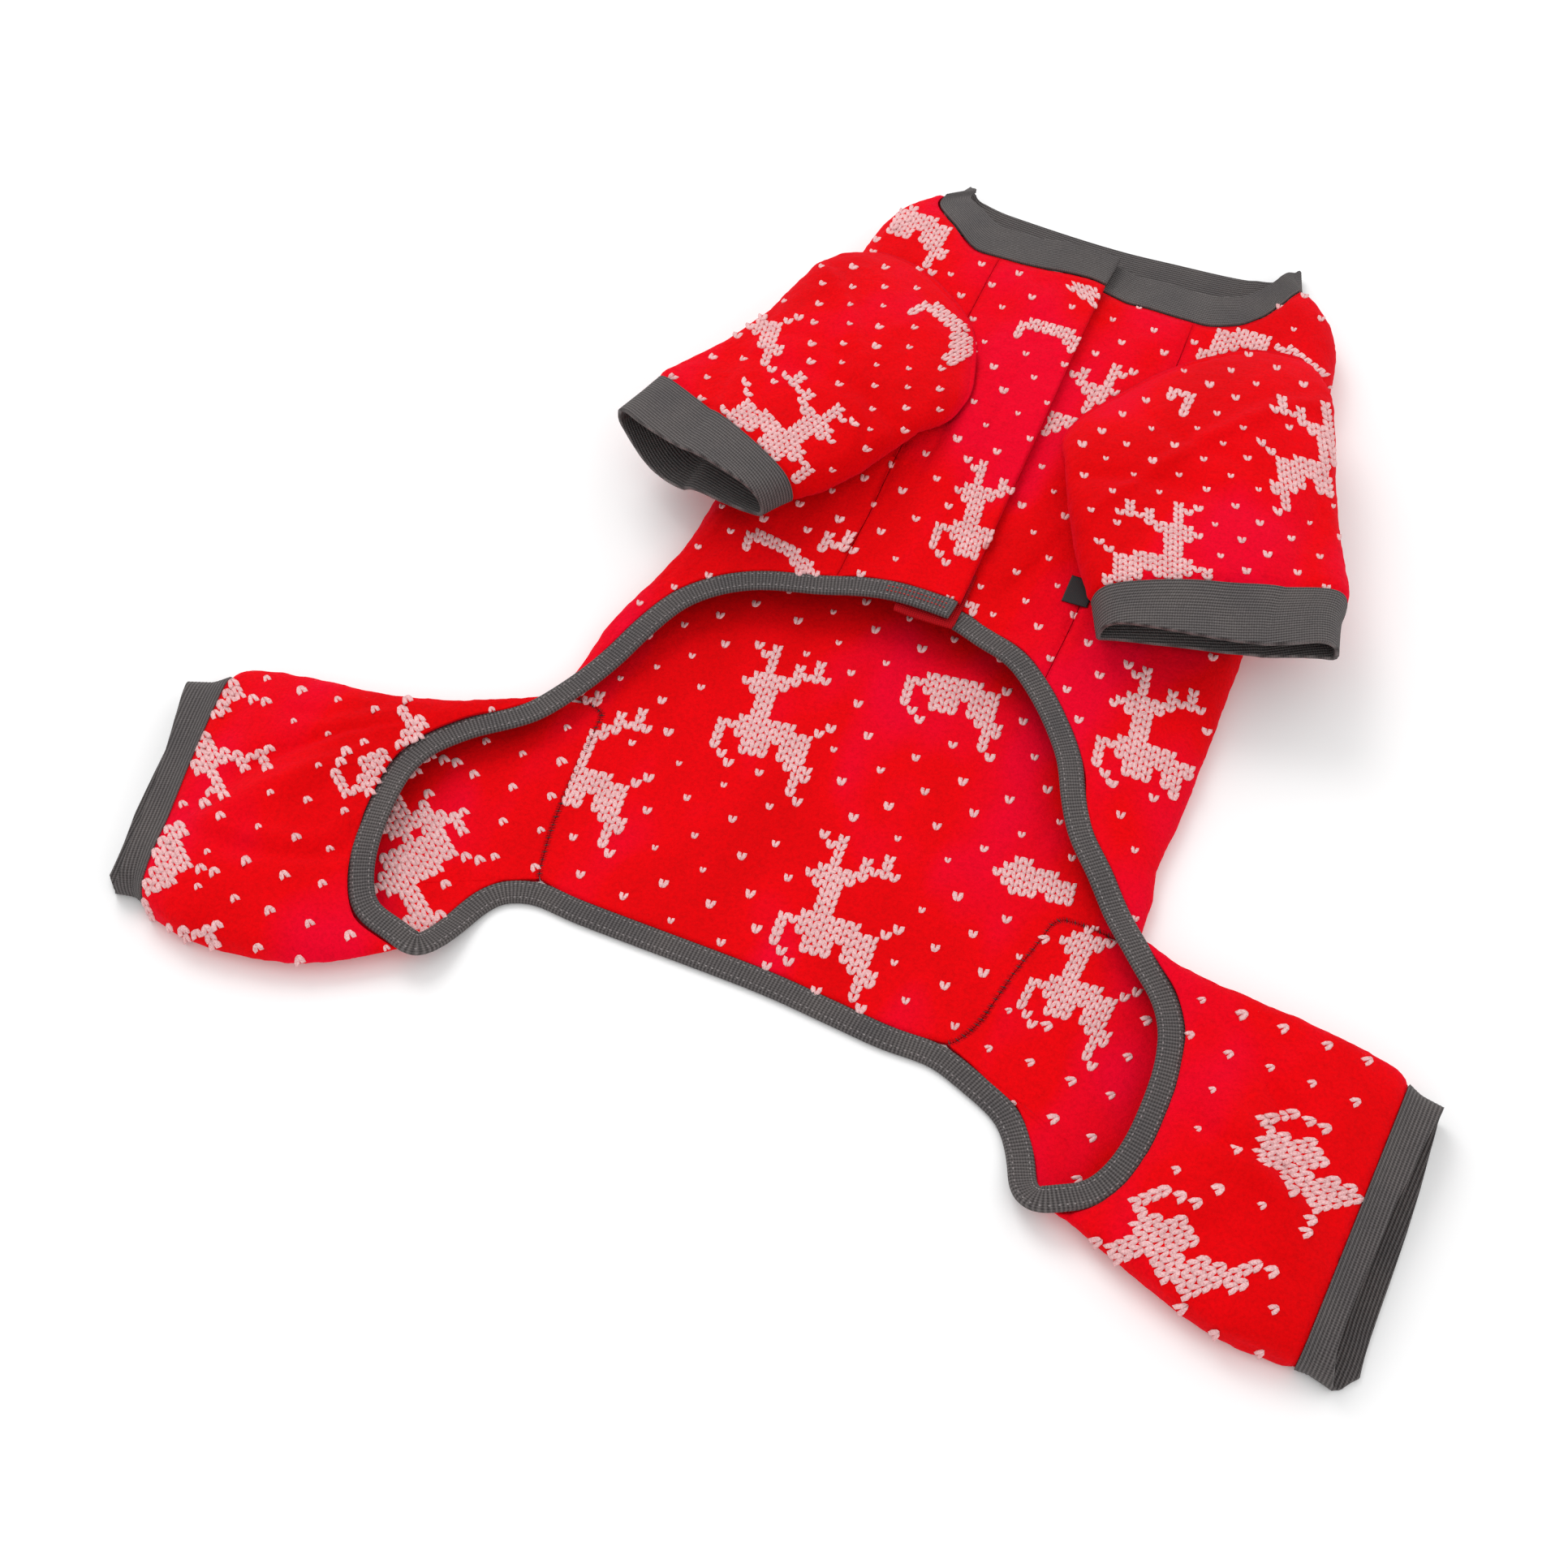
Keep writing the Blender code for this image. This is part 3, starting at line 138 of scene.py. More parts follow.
# The edge of a hind leg's cloth along the opening, from the front fold round to the rump's corner:
# around, across (of BODY_WIDTH), along (of BODY_LENGTH), height (of LEG_HEIGHT)
LEG_ROOT_LEFT = (
    (0.0, -0.498, 0.211, 0.4), (0.03, -0.513, 0.19, 0.58), (0.08, -0.545, 0.164, 0.76),
    (0.15, -0.608, 0.128, 0.94), (0.22, -0.652, 0.0865, 1.0), (0.29, -0.6655, 0.0475, 1.0),
    (0.35, -0.659, 0.0062, 1.0), (0.41, -0.642, -0.0433, 0.95), (0.45, -0.615, -0.0825, 0.86),
    (0.475, -0.571, -0.1113, 0.74), (0.5, -0.514, -0.1175, 0.58), (0.52, -0.483, -0.101, 0.42),
    (0.545, -0.47, -0.068, 0.18), (0.575, -0.456, -0.033, 0.0), (0.605, -0.421, -0.008, 0.0),
    (0.63, -0.374, 0.002, 0.0),
)
LEG_ROOT_RIGHT = (
    (0.0, 0.51, 0.154, 0.4), (0.03, 0.524, 0.144, 0.78), (0.09, 0.552, 0.127, 0.9),
    (0.16, 0.592, 0.101, 0.96), (0.23, 0.623, 0.058, 0.98), (0.3, 0.632, 0.0062, 0.98),
    (0.36, 0.629, -0.0371, 0.95), (0.41, 0.618, -0.0742, 0.88), (0.45, 0.588, -0.1113, 0.78),
    (0.48, 0.547, -0.128, 0.6), (0.505, 0.51, -0.12, 0.36), (0.535, 0.479, -0.081, 0.05),
    (0.57, 0.422, -0.037, 0.0), (0.605, 0.359, -0.026, 0.0), (0.63, 0.293, -0.014, 0.0),
)
LEG_SEAM = 0.630             # around the root, where the seam with the back panel starts

# The seam of a leg on the back panel, from the rump's corner to the side fold: around the body,
# around the leg's cuff
SEAM_LEFT = (
    (CORNER_LEFT, 0.59), (0.908, 0.625), (0.916, 0.665), (0.922, 0.71), (0.93, 0.76), (0.94, 0.82),
    (0.955, 0.875), (0.97, 0.92), (0.982, 0.955), (0.99, 0.976), (0.996, 0.989), (1.0, 1.0),
)
SEAM_RIGHT = (
    (CORNER_RIGHT, 0.59), (0.62, 0.622), (0.61, 0.66), (0.603, 0.7), (0.597, 0.745), (0.588, 0.8),
    (0.572, 0.855), (0.548, 0.905), (0.528, 0.945), (0.514, 0.972), (0.506, 0.988), (0.5, 1.0),
)

# The two legs: side, hip across (of BODY_WIDTH), hip along (of BODY_LENGTH), angle below sideways
LEGS = {
    "left": (-1, -0.493, 0.0165, 12.5),
    "right": (1, 0.456, -0.0155, 5.0),
}

# A sleeve's root on the body, round the armhole from its outer end: around, across (of BODY_WIDTH),
# along (of BODY_LENGTH). Its first half is the seam that shows on top.
SLEEVE_ROOT_LEFT = (
    (0.0, -0.385, 0.866), (0.05, -0.374, 0.884), (0.12, -0.305, 0.874), (0.2, -0.207, 0.838),
    (0.27, -0.142, 0.797), (0.34, -0.104, 0.74), (0.4, -0.088, 0.695), (0.45, -0.096, 0.664),
    (0.5, -0.125, 0.645), (0.55, -0.16, 0.655), (0.65, -0.215, 0.69), (0.75, -0.27, 0.735),
    (0.85, -0.32, 0.79), (0.93, -0.362, 0.835),
)
SLEEVE_ROOT_RIGHT = (
    (0.0, 0.432, 0.88), (0.05, 0.42, 0.898), (0.12, 0.342, 0.888), (0.2, 0.258, 0.85),
    (0.27, 0.196, 0.808), (0.34, 0.142, 0.756), (0.4, 0.104, 0.712), (0.45, 0.092, 0.682),
    (0.5, 0.112, 0.66), (0.55, 0.146, 0.664), (0.65, 0.215, 0.7), (0.75, 0.29, 0.748),
    (0.85, 0.365, 0.805), (0.93, 0.412, 0.85),
)

# The two sleeves: side, armhole's middle across (of BODY_WIDTH), along (of BODY_LENGTH),
# angle outwards from straight down
SLEEVES = {
    "left": (-1, -0.258, 0.766, 26.5),
    "right": (1, 0.285, 0.759, 20.5),
}

# How a sleeve's mouth lies: lift of all of it, lift of its outer fold, sag of its lower layer,
# reach of its lower layer past the upper one (of SLEEVE_HEIGHT)
SLEEVE_MOUTHS = {
    "left": (0.45, 0.00, 0.60, 0.45),
    "right": (0.00, 0.55, 0.00, 0.00),
}

# How a sleeve opens from its root to its mouth: along (of SLEEVE_LENGTH), rise (of SLEEVE_HEIGHT),
# spread of the left sleeve's outer fold, of the right one's, of the inner fold (of SLEEVE_CUFF_FLAT)
SLEEVE_FORM = (
    (-0.2, -0.4, -0.03, -0.03, 0.0), (0.0, 0.0, 0.0, 0.0, 0.0), (0.05, 0.17, 0.02, 0.022, 0.002),
    (0.12, 0.37, 0.038, 0.055, 0.008), (0.22, 0.57, 0.05, 0.082, 0.02), (0.38, 0.83, 0.018, 0.08, 0.035),
    (0.55, 0.97, -0.045, 0.064, 0.04), (0.7, 1.0, -0.06, 0.062, 0.035), (0.85, 1.0, -0.045, 0.066, 0.022),
    (0.95, 0.96, -0.04, 0.07, 0.008), (1.02, 0.92, -0.065, 0.05, 0.0), (1.08, 0.92, -0.09, 0.02, 0.0),
    (1.25, 1.0, -0.15, -0.02, 0.0),
)

# How a hind leg changes from hip to mouth: along (of LEG_LENGTH), puff (of LEG_PUFF), bow of the
# left leg's rear fold and of the right one's, bow of their front folds (of LEG_BULGE)
LEG_FORM = (
    (-0.2, -0.3, -0.35, -0.15, 0.2, 0.1), (0.0, 0.0, 0.0, 0.0, 0.0, 0.0),
    (0.07, 0.22, 0.2, 0.02, -0.1, -0.1), (0.15, 0.45, 0.42, 0.06, -0.26, -0.2),
    (0.28, 0.75, 0.68, 0.2, -0.44, -0.18), (0.4, 0.9, 0.78, 0.32, -0.42, -0.08),
    (0.7, 0.9, 0.58, 0.5, 0.02, 0.2), (0.94, 0.45, -0.1, 0.16, 0.36, 0.32),
    (1.0, 0.28, -0.45, 0.06, 0.16, 0.2), (1.06, 0.15, -0.72, -0.04, -0.04, 0.1),
    (1.2, 0.2, -0.8, -0.04, -0.04, 0.14),
)

# The collar's mouth: around, lean inwards, reach (of COLLAR_WIDTH), height (of COLLAR_RISE)
COLLAR_MOUTH = (
    (0.0, 0.24, 0.92, 0.14), (0.02, 0.29, 0.9, 0.22), (0.045, 0.34, 0.89, 0.33), (0.065, 0.36, 0.9, 0.44),
    (0.1, 0.28, 0.94, 0.66), (0.15, 0.14, 1.0, 0.92), (0.2, 0.05, 0.98, 0.96), (0.25, 0.0, 0.95, 0.9),
    (0.29, 0.02, 0.96, 0.9), (0.34, 0.1, 0.98, 0.94), (0.38, 0.24, 0.94, 0.84), (0.41, 0.34, 0.88, 0.66),
    (0.44, 0.36, 0.87, 0.48), (0.46, 0.34, 0.88, 0.33), (0.48, 0.29, 0.9, 0.22), (0.5, 0.24, 0.92, 0.14),
    (0.53, 0.22, 0.94, 0.02), (0.56, 0.14, 1.01, 0.0), (0.6, 0.06, 1.06, 0.0), (0.75, 0.0, 1.09, 0.0),
    (0.9, 0.06, 1.06, 0.0), (0.94, 0.14, 1.01, 0.0), (0.97, 0.22, 0.94, 0.02),
)

# Folds in the upper layer of the body: across (of BODY_WIDTH), along, length, width (of BODY_LENGTH),
# turn in degrees from the +Y way, height (of BODY_HEIGHT)
BODY_FOLDS = (
    (-0.075, 0.64, 0.18, 0.016, 3.0, 0.06), (0.1, 0.64, 0.13, 0.02, -6.0, 0.09),
    (0.11, 0.52, 0.08, 0.024, -28.0, 0.06), (0.25, 0.44, 0.07, 0.024, -50.0, 0.07),
    (0.33, 0.52, 0.06, 0.02, -62.0, 0.06), (-0.19, 0.49, 0.07, 0.018, 40.0, 0.08),
    (-0.31, 0.47, 0.06, 0.018, 62.0, -0.07), (0.39, 0.33, 0.06, 0.018, -20.0, 0.09),
    (-0.06, 0.87, 0.05, 0.022, 60.0, 0.06), (0.18, 0.87, 0.06, 0.022, -40.0, 0.06),
)

# Folds in the upper layer of a tube: around, along, turn, length, width (shares), height (of its own)
SLEEVE_FOLDS = (
    (0.18, 0.4, 0.3, 0.3, 0.035, 0.14), (0.33, 0.55, -0.2, 0.26, 0.04, -0.12),
    (0.12, 0.7, 0.1, 0.22, 0.04, 0.08),
)
LEG_FOLDS = (
    (0.3, 0.45, 0.04, 0.34, 0.035, 0.26), (0.22, 0.55, 0.06, 0.26, 0.03, -0.2),
    (0.4, 0.3, -0.06, 0.2, 0.03, 0.18),
)


def track(rows, column, at):
    """Reads a column at any place along a table's first column, as a smooth curve without overshoot."""
    xs = np.array([row[0] for row in rows], dtype=float)
    ys = np.array([row[column] for row in rows], dtype=float)
    step = np.diff(xs)
    rise = np.diff(ys) / step
    slope = np.zeros(len(xs))
    same = rise[:-1] * rise[1:] > 0
    before, after = rise[:-1][same], rise[1:][same]
    slope[1:-1][same] = 2 * before * after / (before + after)
    slope[0], slope[-1] = rise[0], rise[-1]
    at = np.asarray(at, dtype=float)
    i = np.clip(np.searchsorted(xs, at, side="right") - 1, 0, len(xs) - 2)
    h = step[i]
    u = np.clip((at - xs[i]) / h, -0.5, 1.5)
    return ((1 + 2 * u) * (1 - u) ** 2 * ys[i] + u * (1 - u) ** 2 * h * slope[i]
            + u * u * (3 - 2 * u) * ys[i + 1] + u * u * (u - 1) * h * slope[i + 1])


def closed(rows):
    """Repeats a table round the ring, so that it reads smoothly across its start."""
    ahead = [(row[0] + 1,) + tuple(row[1:]) for row in rows[:3]]
    behind = [(row[0] - 1,) + tuple(row[1:]) for row in rows[-3:]]
    return tuple(behind) + tuple(rows) + tuple(ahead)


def whole_section():
    rows = [(a, -x, z) for a, x, z in SECTION_TOP]
    rows += [(0.5 - a, x, z) for a, x, z in reversed(SECTION_TOP[:-1])]
    rows += [(0.5 + a, x, z) for a, x, z in SECTION_FLOOR]
    rows += [(1.0 - a, -x, z) for a, x, z in reversed(SECTION_FLOOR[:-1])]
    return closed(rows)


SECTION = whole_section()
ENDS = closed(BODY_ENDS[:-1])
MOUTH = closed(COLLAR_MOUTH)


def section(a):
    a = np.mod(a, 1.0)
    return track(SECTION, 1, a), track(SECTION, 2, a)


def smoothstep(u):
    u = np.clip(u, 0.0, 1.0)
    return u * u * (3 - 2 * u)


def fold_heights(folds, x, y):
    """Adds the soft ridges and valleys of a table of folds at the places x, y."""
    total = np.zeros(np.broadcast(x, y).shape)
    for across, along, length, width, turn, height in folds:
        dx = x - across * BODY_WIDTH
        dy = y - along * BODY_LENGTH
        c, s = math.cos(math.radians(turn)), math.sin(math.radians(turn))
        down = dy * c - dx * s
        side = dx * c + dy * s
        total = total + height * BODY_HEIGHT * np.exp(
            -(down / (length * BODY_LENGTH)) ** 2 - (side / (width * BODY_LENGTH)) ** 2)
    return total


def placket_lift(x, side):
    """Upper layer up on the left (-1), lower layer down on the right (1), where they overlap."""
    if side < 0:
        start = PLACKET_EDGE - PLACKET_OVERLAP - PLACKET_EASE
        return PLACKET_LIFT * smoothstep((x - start) / PLACKET_EASE)
    if side > 0:
        start = PLACKET_EDGE + PLACKET_EASE + PLACKET_MARGIN
        return -PLACKET_LIFT * smoothstep((start - x) / PLACKET_EASE)
    return 0.0 * x


def body_sides(share):
    """Where the body's left and right folds are at a share of its length."""
    return track(BODY, 1, share) * BODY_WIDTH, track(BODY, 2, share) * BODY_WIDTH


def body(a, y, side=0):
    """The middle of the body's cloth at a place around it and a length along it."""
    left, right = body_sides(y / BODY_LENGTH)
    height = track(BODY, 3, y / BODY_LENGTH) * BODY_HEIGHT
    across, up = section(a)
    x = (left + right) / 2 + across * (right - left) / 2
    upper = smoothstep((up - 0.55) / 0.4)
    z = FLEECE / 2 + up * (height - FLEECE / 2) + upper * fold_heights(BODY_FOLDS, x, y)
    z = z + upper * placket_lift(x, side)
    return np.stack(np.broadcast_arrays(x, y, z), axis=-1)


def body_top(x, y):
    """Height of the body's upper layer, its outer face, over a place in plan."""
    left, right = body_sides(y / BODY_LENGTH)
    height = track(BODY, 3, y / BODY_LENGTH) * BODY_HEIGHT
    across = np.abs((x - (left + right) / 2) / ((right - left) / 2))
    rows = [(1 - row[1], row[2]) for row in SECTION_TOP]
    up = track(rows, 1, 1 - np.clip(across, 0, 1))
    up = np.where(across > 1, 0.30 - (across - 1) * 6, up)
    upper = smoothstep((up - 0.55) / 0.4)
    z = FLEECE / 2 + up * (height - FLEECE / 2) + upper * fold_heights(BODY_FOLDS, x, y)
    z = z + upper * placket_lift(x, -1) * (x < PLACKET_EDGE)
    return z + FLEECE / 2


def highest_near(x, y, reach_x, reach_y):
    """The highest that the body's upper layer comes within a reach of the places x, y."""
    around = [body_top(x + reach_x * i, y + reach_y * k) for i in (-1, -0.5, 0, 0.5, 1) for k in (-1, 1)]
    return np.max(around, axis=0)


def body_ends(a):
    a = np.mod(a, 1.0)
    return track(ENDS, 1, a) * BODY_LENGTH, track(ENDS, 2, a) * BODY_LENGTH


def torso(a, t, side=0):
    """t is 0 at the neck and 1 at the hem."""
    neck, hem = body_ends(a)
    return body(a, neck + (hem - neck) * t, side)


def plan_normal(curve, a):
    """The sideways direction of a curve in plan, to the left of its run."""
    step = 1e-4
    run = curve(a + step) - curve(a - step)
    flat = np.stack([-run[..., 1], run[..., 0], 0 * run[..., 0]], axis=-1)
    return flat / np.maximum(np.linalg.norm(flat, axis=-1, keepdims=True), 1e-12)


def tube_folds(folds, b, t):
    """Ridges and valleys of a table of folds at the places b around a tube and t along it."""
    total = 0.0
    for around, along, turn, length, width, height in folds:
        run = (t - along) / length
        total = total + height * np.exp(-run ** 2 - ((b - around - turn * run) / width) ** 2)
    return total


def leg_side(name):
    sign, across, along, angle = LEGS[name]
    turn = math.radians(angle)
    hip = np.array([across * BODY_WIDTH, along * BODY_LENGTH])
    way = np.array([sign * math.cos(turn), -math.sin(turn)])
    front = np.array([sign * math.sin(turn), math.cos(turn)])
    return sign, hip, way, front


def leg_root_parts(name, b):
    """The ring where a hind leg's cloth starts: along the opening, then along the back panel's seam."""
    rows = LEG_ROOT_LEFT if name == "left" else LEG_ROOT_RIGHT
    on_edge = np.stack([track(rows, 1, np.minimum(b, LEG_SEAM)) * BODY_WIDTH,
                        track(rows, 2, np.minimum(b, LEG_SEAM)) * BODY_LENGTH,
                        FLEECE / 2 + track(rows, 3, np.minimum(b, LEG_SEAM)) * (LEG_HEIGHT - FLEECE / 2)],
                       axis=-1)
    share = np.clip((b - LEG_SEAM) / (1 - LEG_SEAM), 0, 1)
    cuts = SEAM_LEFT if name == "left" else SEAM_RIGHT
    a = np.interp(share, np.linspace(0, 1, len(cuts)), [cut[0] for cut in cuts])

    def seam(at):
        return body(at, body_ends(at)[1])

    on_seam = seam(a)
    away = plan_normal(seam, np.clip(a, 0.503, 0.997))
    leg_wards = leg_side(name)[2] + np.array([0.0, -1.0])
    away = away * np.sign(np.sum(away[..., :2] * leg_wards, axis=-1, keepdims=True))
    raised = smoothstep((on_seam[..., 2:3] - FLEECE / 2) / FLEECE)
    near_fold = smoothstep((np.abs(section(a)[0])[..., None] - 0.88) / 0.08)
    on_seam = on_seam + away * (1.4 * SEAM_GAP + 0.8 * FLEECE * np.maximum(raised, near_fold))
    return on_edge, on_seam


def leg_root(name, b):
    """The same ring with its two parts made to meet at the front fold and at the rump's corner."""
    b = np.mod(b, 1.0)
    on_edge, on_seam = leg_root_parts(name, b)
    ends = np.array([0.0, LEG_SEAM, 1 - 1e-9])
    edge_ends, seam_ends = leg_root_parts(name, ends)
    fold_step = seam_ends[2] - edge_ends[0]
    corner_step = seam_ends[1] - edge_ends[1]
    on_edge = on_edge + fold_step * (1 - smoothstep(b / 0.04))[..., None]
    on_edge = on_edge + corner_step * smoothstep((b - LEG_SEAM + 0.05) / 0.05)[..., None]
    return np.where((b >= LEG_SEAM)[..., None], on_seam, on_edge)


def leg(name, b, t):
    """The middle of a hind leg's cloth: t is 0 at the hip and 1 at the cuff's seam."""
    sign, hip, way, front = leg_side(name)
    b = np.mod(b, 1.0)
    start = leg_root(name, b)
    cuts = SEAM_LEFT if name == "left" else SEAM_RIGHT
    seam_places = np.linspace(LEG_SEAM, 1, len(cuts))
    across, up = section(np.interp(b, (0.0, 0.54, *seam_places), (0.0, 0.54, *[cut[1] for cut in cuts])))
    reach = hip + way * LEG_LENGTH
    end_xy = reach - front * (across[..., None] * LEG_CUFF_FLAT / 2)
    end_z = FLEECE / 2 + up * (LEG_HEIGHT - FLEECE / 2)
    end = np.concatenate([end_xy, end_z[..., None]], axis=-1)
    t = np.asarray(t, dtype=float)
    point = start + (end - start) * t[..., None]
    puff = track(LEG_FORM, 1, t) * LEG_PUFF * smoothstep(up)
    bow = smoothstep((b - 0.30) / 0.18) * (1 - smoothstep((b - 0.52) / 0.08))
    bow = bow + (smoothstep((across + 0.2) / 1.2) - bow) * smoothstep((t - 0.8) / 0.2)
    column = 2 if name == "left" else 3
    rear = bow * track(LEG_FORM, column, t) * LEG_BULGE
    fore = smoothstep((-across + 0.2) / 1.2) * track(LEG_FORM, column + 2, t) * LEG_BULGE
    point[..., 0] += front[0] * (fore - rear)
    point[..., 1] += front[1] * (fore - rear)
    upper = smoothstep((up - 0.55) / 0.4)
    puff = puff + upper * LEG_HEIGHT * tube_folds(LEG_FOLDS, b, t)
    point[..., 2] += puff
    return point


def sleeve_side(name):
    sign, across, along, angle = SLEEVES[name]
    turn = math.radians(angle)
    middle = np.array([across * BODY_WIDTH, along * BODY_LENGTH])
    way = np.array([sign * math.sin(turn), -math.cos(turn)])
    outer = np.array([sign * math.cos(turn), math.sin(turn)])
    return middle, way, outer


def sleeve(name, b, t):
    """The middle of a sleeve's cloth: t is 0 at the armhole and 1 at the cuff's seam."""
    middle, way, outer = sleeve_side(name)
    lift, outer_lift, sag, reach = SLEEVE_MOUTHS[name]
    b = np.mod(b, 1.0)
    t = np.asarray(t, dtype=float)
    rows = closed(SLEEVE_ROOT_LEFT if name == "left" else SLEEVE_ROOT_RIGHT)
    start = np.stack([track(rows, 1, b) * BODY_WIDTH, track(rows, 2, b) * BODY_LENGTH], axis=-1)
    across, up = section(b)
    end = middle + way * SLEEVE_LENGTH - outer * (across[..., None] * SLEEVE_CUFF_FLAT / 2)
    plan = start + (end - start) * t[..., None]
    spread = track(SLEEVE_FORM, 2 if name == "left" else 3, t)
    wide = (smoothstep((-across + 0.2) / 1.2) * spread
            - smoothstep((across + 0.2) / 1.2) * track(SLEEVE_FORM, 4, t)) * SLEEVE_CUFF_FLAT
    lower = np.maximum(1 - across ** 2, 0) * (1 - smoothstep(up / 0.3)) * smoothstep((t - 0.6) / 0.6)
    plan = plan + outer * wide[..., None] + way * (lower * reach * SLEEVE_HEIGHT)[..., None]
    x, y = plan[..., 0], plan[..., 1]
    under = highest_near(x, y, 4 * FLEECE, 2.4 * FLEECE)
    here = highest_near(x, y, 1.2 * FLEECE, 1.2 * FLEECE)
    loose = smoothstep(t / (0.10 + 0.15 * up))
    rest = here + (under - here) * loose + 1.4 * SEAM_GAP + FLEECE / 2 + SLEEVE_CLEAR * loose
    free = SLEEVE_FREE - lower * sag * SLEEVE_HEIGHT
    base = SLEEVE_DRAPE * np.logaddexp(rest / SLEEVE_DRAPE, free / SLEEVE_DRAPE)
    base = rest + (base - rest) * loose
    rise = track(SLEEVE_FORM, 1, t) * SLEEVE_HEIGHT * np.maximum(up, 0) ** SLEEVE_ROUND
    rise = rise + smoothstep((t - 0.75) / 0.5) * SLEEVE_HEIGHT * (lift + outer_lift * smoothstep(-across))
    upper = smoothstep((up - 0.55) / 0.4)
    rise = rise + upper * SLEEVE_HEIGHT * tube_folds(SLEEVE_FOLDS, b, t)
    return np.concatenate([plan, (base + rise)[..., None]], axis=-1)


def collar(a, t):
    """The middle of the collar's band: t is 0 at the neck's seam and 1 at its free edge."""
    turn = np.mod(a, 1.0)
    neck = body_ends(turn)[0]
    start = body(turn, neck)
    lean = track(MOUTH, 1, turn) * COLLAR_WIDTH
    reach = track(MOUTH, 2, turn) * COLLAR_WIDTH
    height = track(MOUTH, 3, turn) * COLLAR_RISE
    across, up = section(turn)
    end = np.stack([start[..., 0] - np.sign(across) * lean, start[..., 1] + reach, RIB / 2 + height], axis=-1)
    start[..., 2] -= (FLEECE - RIB) / 2 * (up <= 0)
    raised = SEAM_GAP + 0.7 * FLEECE * smoothstep(up / 0.3)
    t = np.asarray(t, dtype=float)
    t = t + (1 - t) * raised / COLLAR_WIDTH
    point = start + (end - start) * t[..., None]
    upper = smoothstep((up - 0.55) / 0.4)
    left = placket_lift(point[..., 0], -1)
    right = placket_lift(point[..., 0], 1)
    point[..., 2] += upper * np.where(a > 0.75, left, np.where(a < 0.5, right, 0.0))
    return point


def joined(*runs):
    """Joins runs of places end to end, with each shared place once."""
    places = list(runs[0])
    for run in runs[1:]:
        places += list(run[1:])
    return np.array(places)


def across_share(x, share):
    """The place around the body's top that lies at x, at a length along it."""
    left, right = body_sides(share)
    across = (x - (left + right) / 2) / ((right - left) / 2)
    rows = [(row[1], row[0]) for row in SECTION if 0.0 <= row[0] <= 0.5]
    return float(track(rows, 1, across))


PLACKET_PLACE = across_share(PLACKET_EDGE, PLACKET_MIDWAY)
UNDER_PLACE = across_share(PLACKET_EDGE - PLACKET_OVERLAP, PLACKET_MIDWAY)


def binding_path():
    """The middle line of the binding, from its upper end at the placket right round to its lower end."""
    reach = BINDING_WIDTH / 2 + 2 * SEAM_GAP
    places = []

    def add_hem(side, at, towards):
        def curve(a):
            return body(a, body_ends(a)[1], side)
        at = np.array(at)
        points = curve(at)
        away = plan_normal(curve, at)
        aim = np.array(towards) - points[..., :2]
        away = away * np.sign(np.sum(aim * away[..., :2], axis=-1, keepdims=True))
        places.extend((points + away * reach).tolist())

    def add_leg(name, at):
        at = np.array(at)
        step = 2e-3
        start = 0 * at
        points = leg(name, at, start)
        run = leg(name, at + step, start) - leg(name, at - step, start)
        run /= np.linalg.norm(run, axis=-1, keepdims=True)
        inward = leg(name, at, start + 0.1) - points
        inward -= run * np.sum(inward * run, axis=-1, keepdims=True)
        inward /= np.linalg.norm(inward, axis=-1, keepdims=True)
        wider = 1 + 0.30 * np.exp(-((at - 0.49) / 0.03) ** 2)[..., None]
        places.extend((points - inward * reach * wider).tolist())

    def add_corner(name, at):
        def curve(b):
            return leg_root(name, b)
        at = np.array(at)
        points = curve(at)
        away = plan_normal(curve, at)
        away = away * -np.sign(away[..., 1:2])
        places.extend((points + away * reach).tolist())

    belly = (0.0, 0.1 * BODY_LENGTH)
    behind = (0.0, -BODY_LENGTH)
    add_hem(-1, joined(np.linspace(PLACKET_PLACE - 0.001, 0.06, 14), (0.06, 0.047, 0.036)), belly)
    add_leg("left", joined(np.linspace(0.045, 0.45, 15), np.linspace(0.45, 0.53, 6)))
    add_corner("left", (0.560, 0.580, 0.600))
    add_hem(0, np.linspace(CORNER_LEFT - 0.010, CORNER_RIGHT + 0.010, 12), behind)
    add_corner("right", (0.600, 0.580, 0.560))
    add_leg("right", joined(np.linspace(0.53, 0.45, 6), np.linspace(0.45, 0.045, 15)))
    add_hem(1, np.linspace(0.460, UNDER_PLACE + 0.004, 16), belly)
    path = np.array(places)
    path[:, 2] = np.maximum(path[:, 2], BINDING_THICK / 2)
    return path


def line_lengths(path):
    """How far along a line each of its points is."""
    return np.concatenate([[0], np.cumsum(np.linalg.norm(np.diff(path, axis=0), axis=1))])


def even(path, count, soften=0):
    """Spreads points evenly along a smooth curve through the path."""
    for _ in range(soften):
        middle = path[1:-1] * 0.5 + (path[:-2] + path[2:]) * 0.25
        path = np.concatenate([path[:1], middle, path[-1:]])
    run = line_lengths(path)
    rows = [(r, *p) for r, p in zip(run, path)]
    at = np.linspace(0, run[-1], count)
    return np.stack([track(rows, k, at) for k in (1, 2, 3)], axis=-1)


def height_of(x, y, side):
    """Height of the middle of the body's upper cloth over places in plan."""
    upper = placket_lift(x, -1)
    own = placket_lift(x, 1) if side > 0 else upper
    return body_top(x, y) - FLEECE / 2 - upper * (x < PLACKET_EDGE) + own


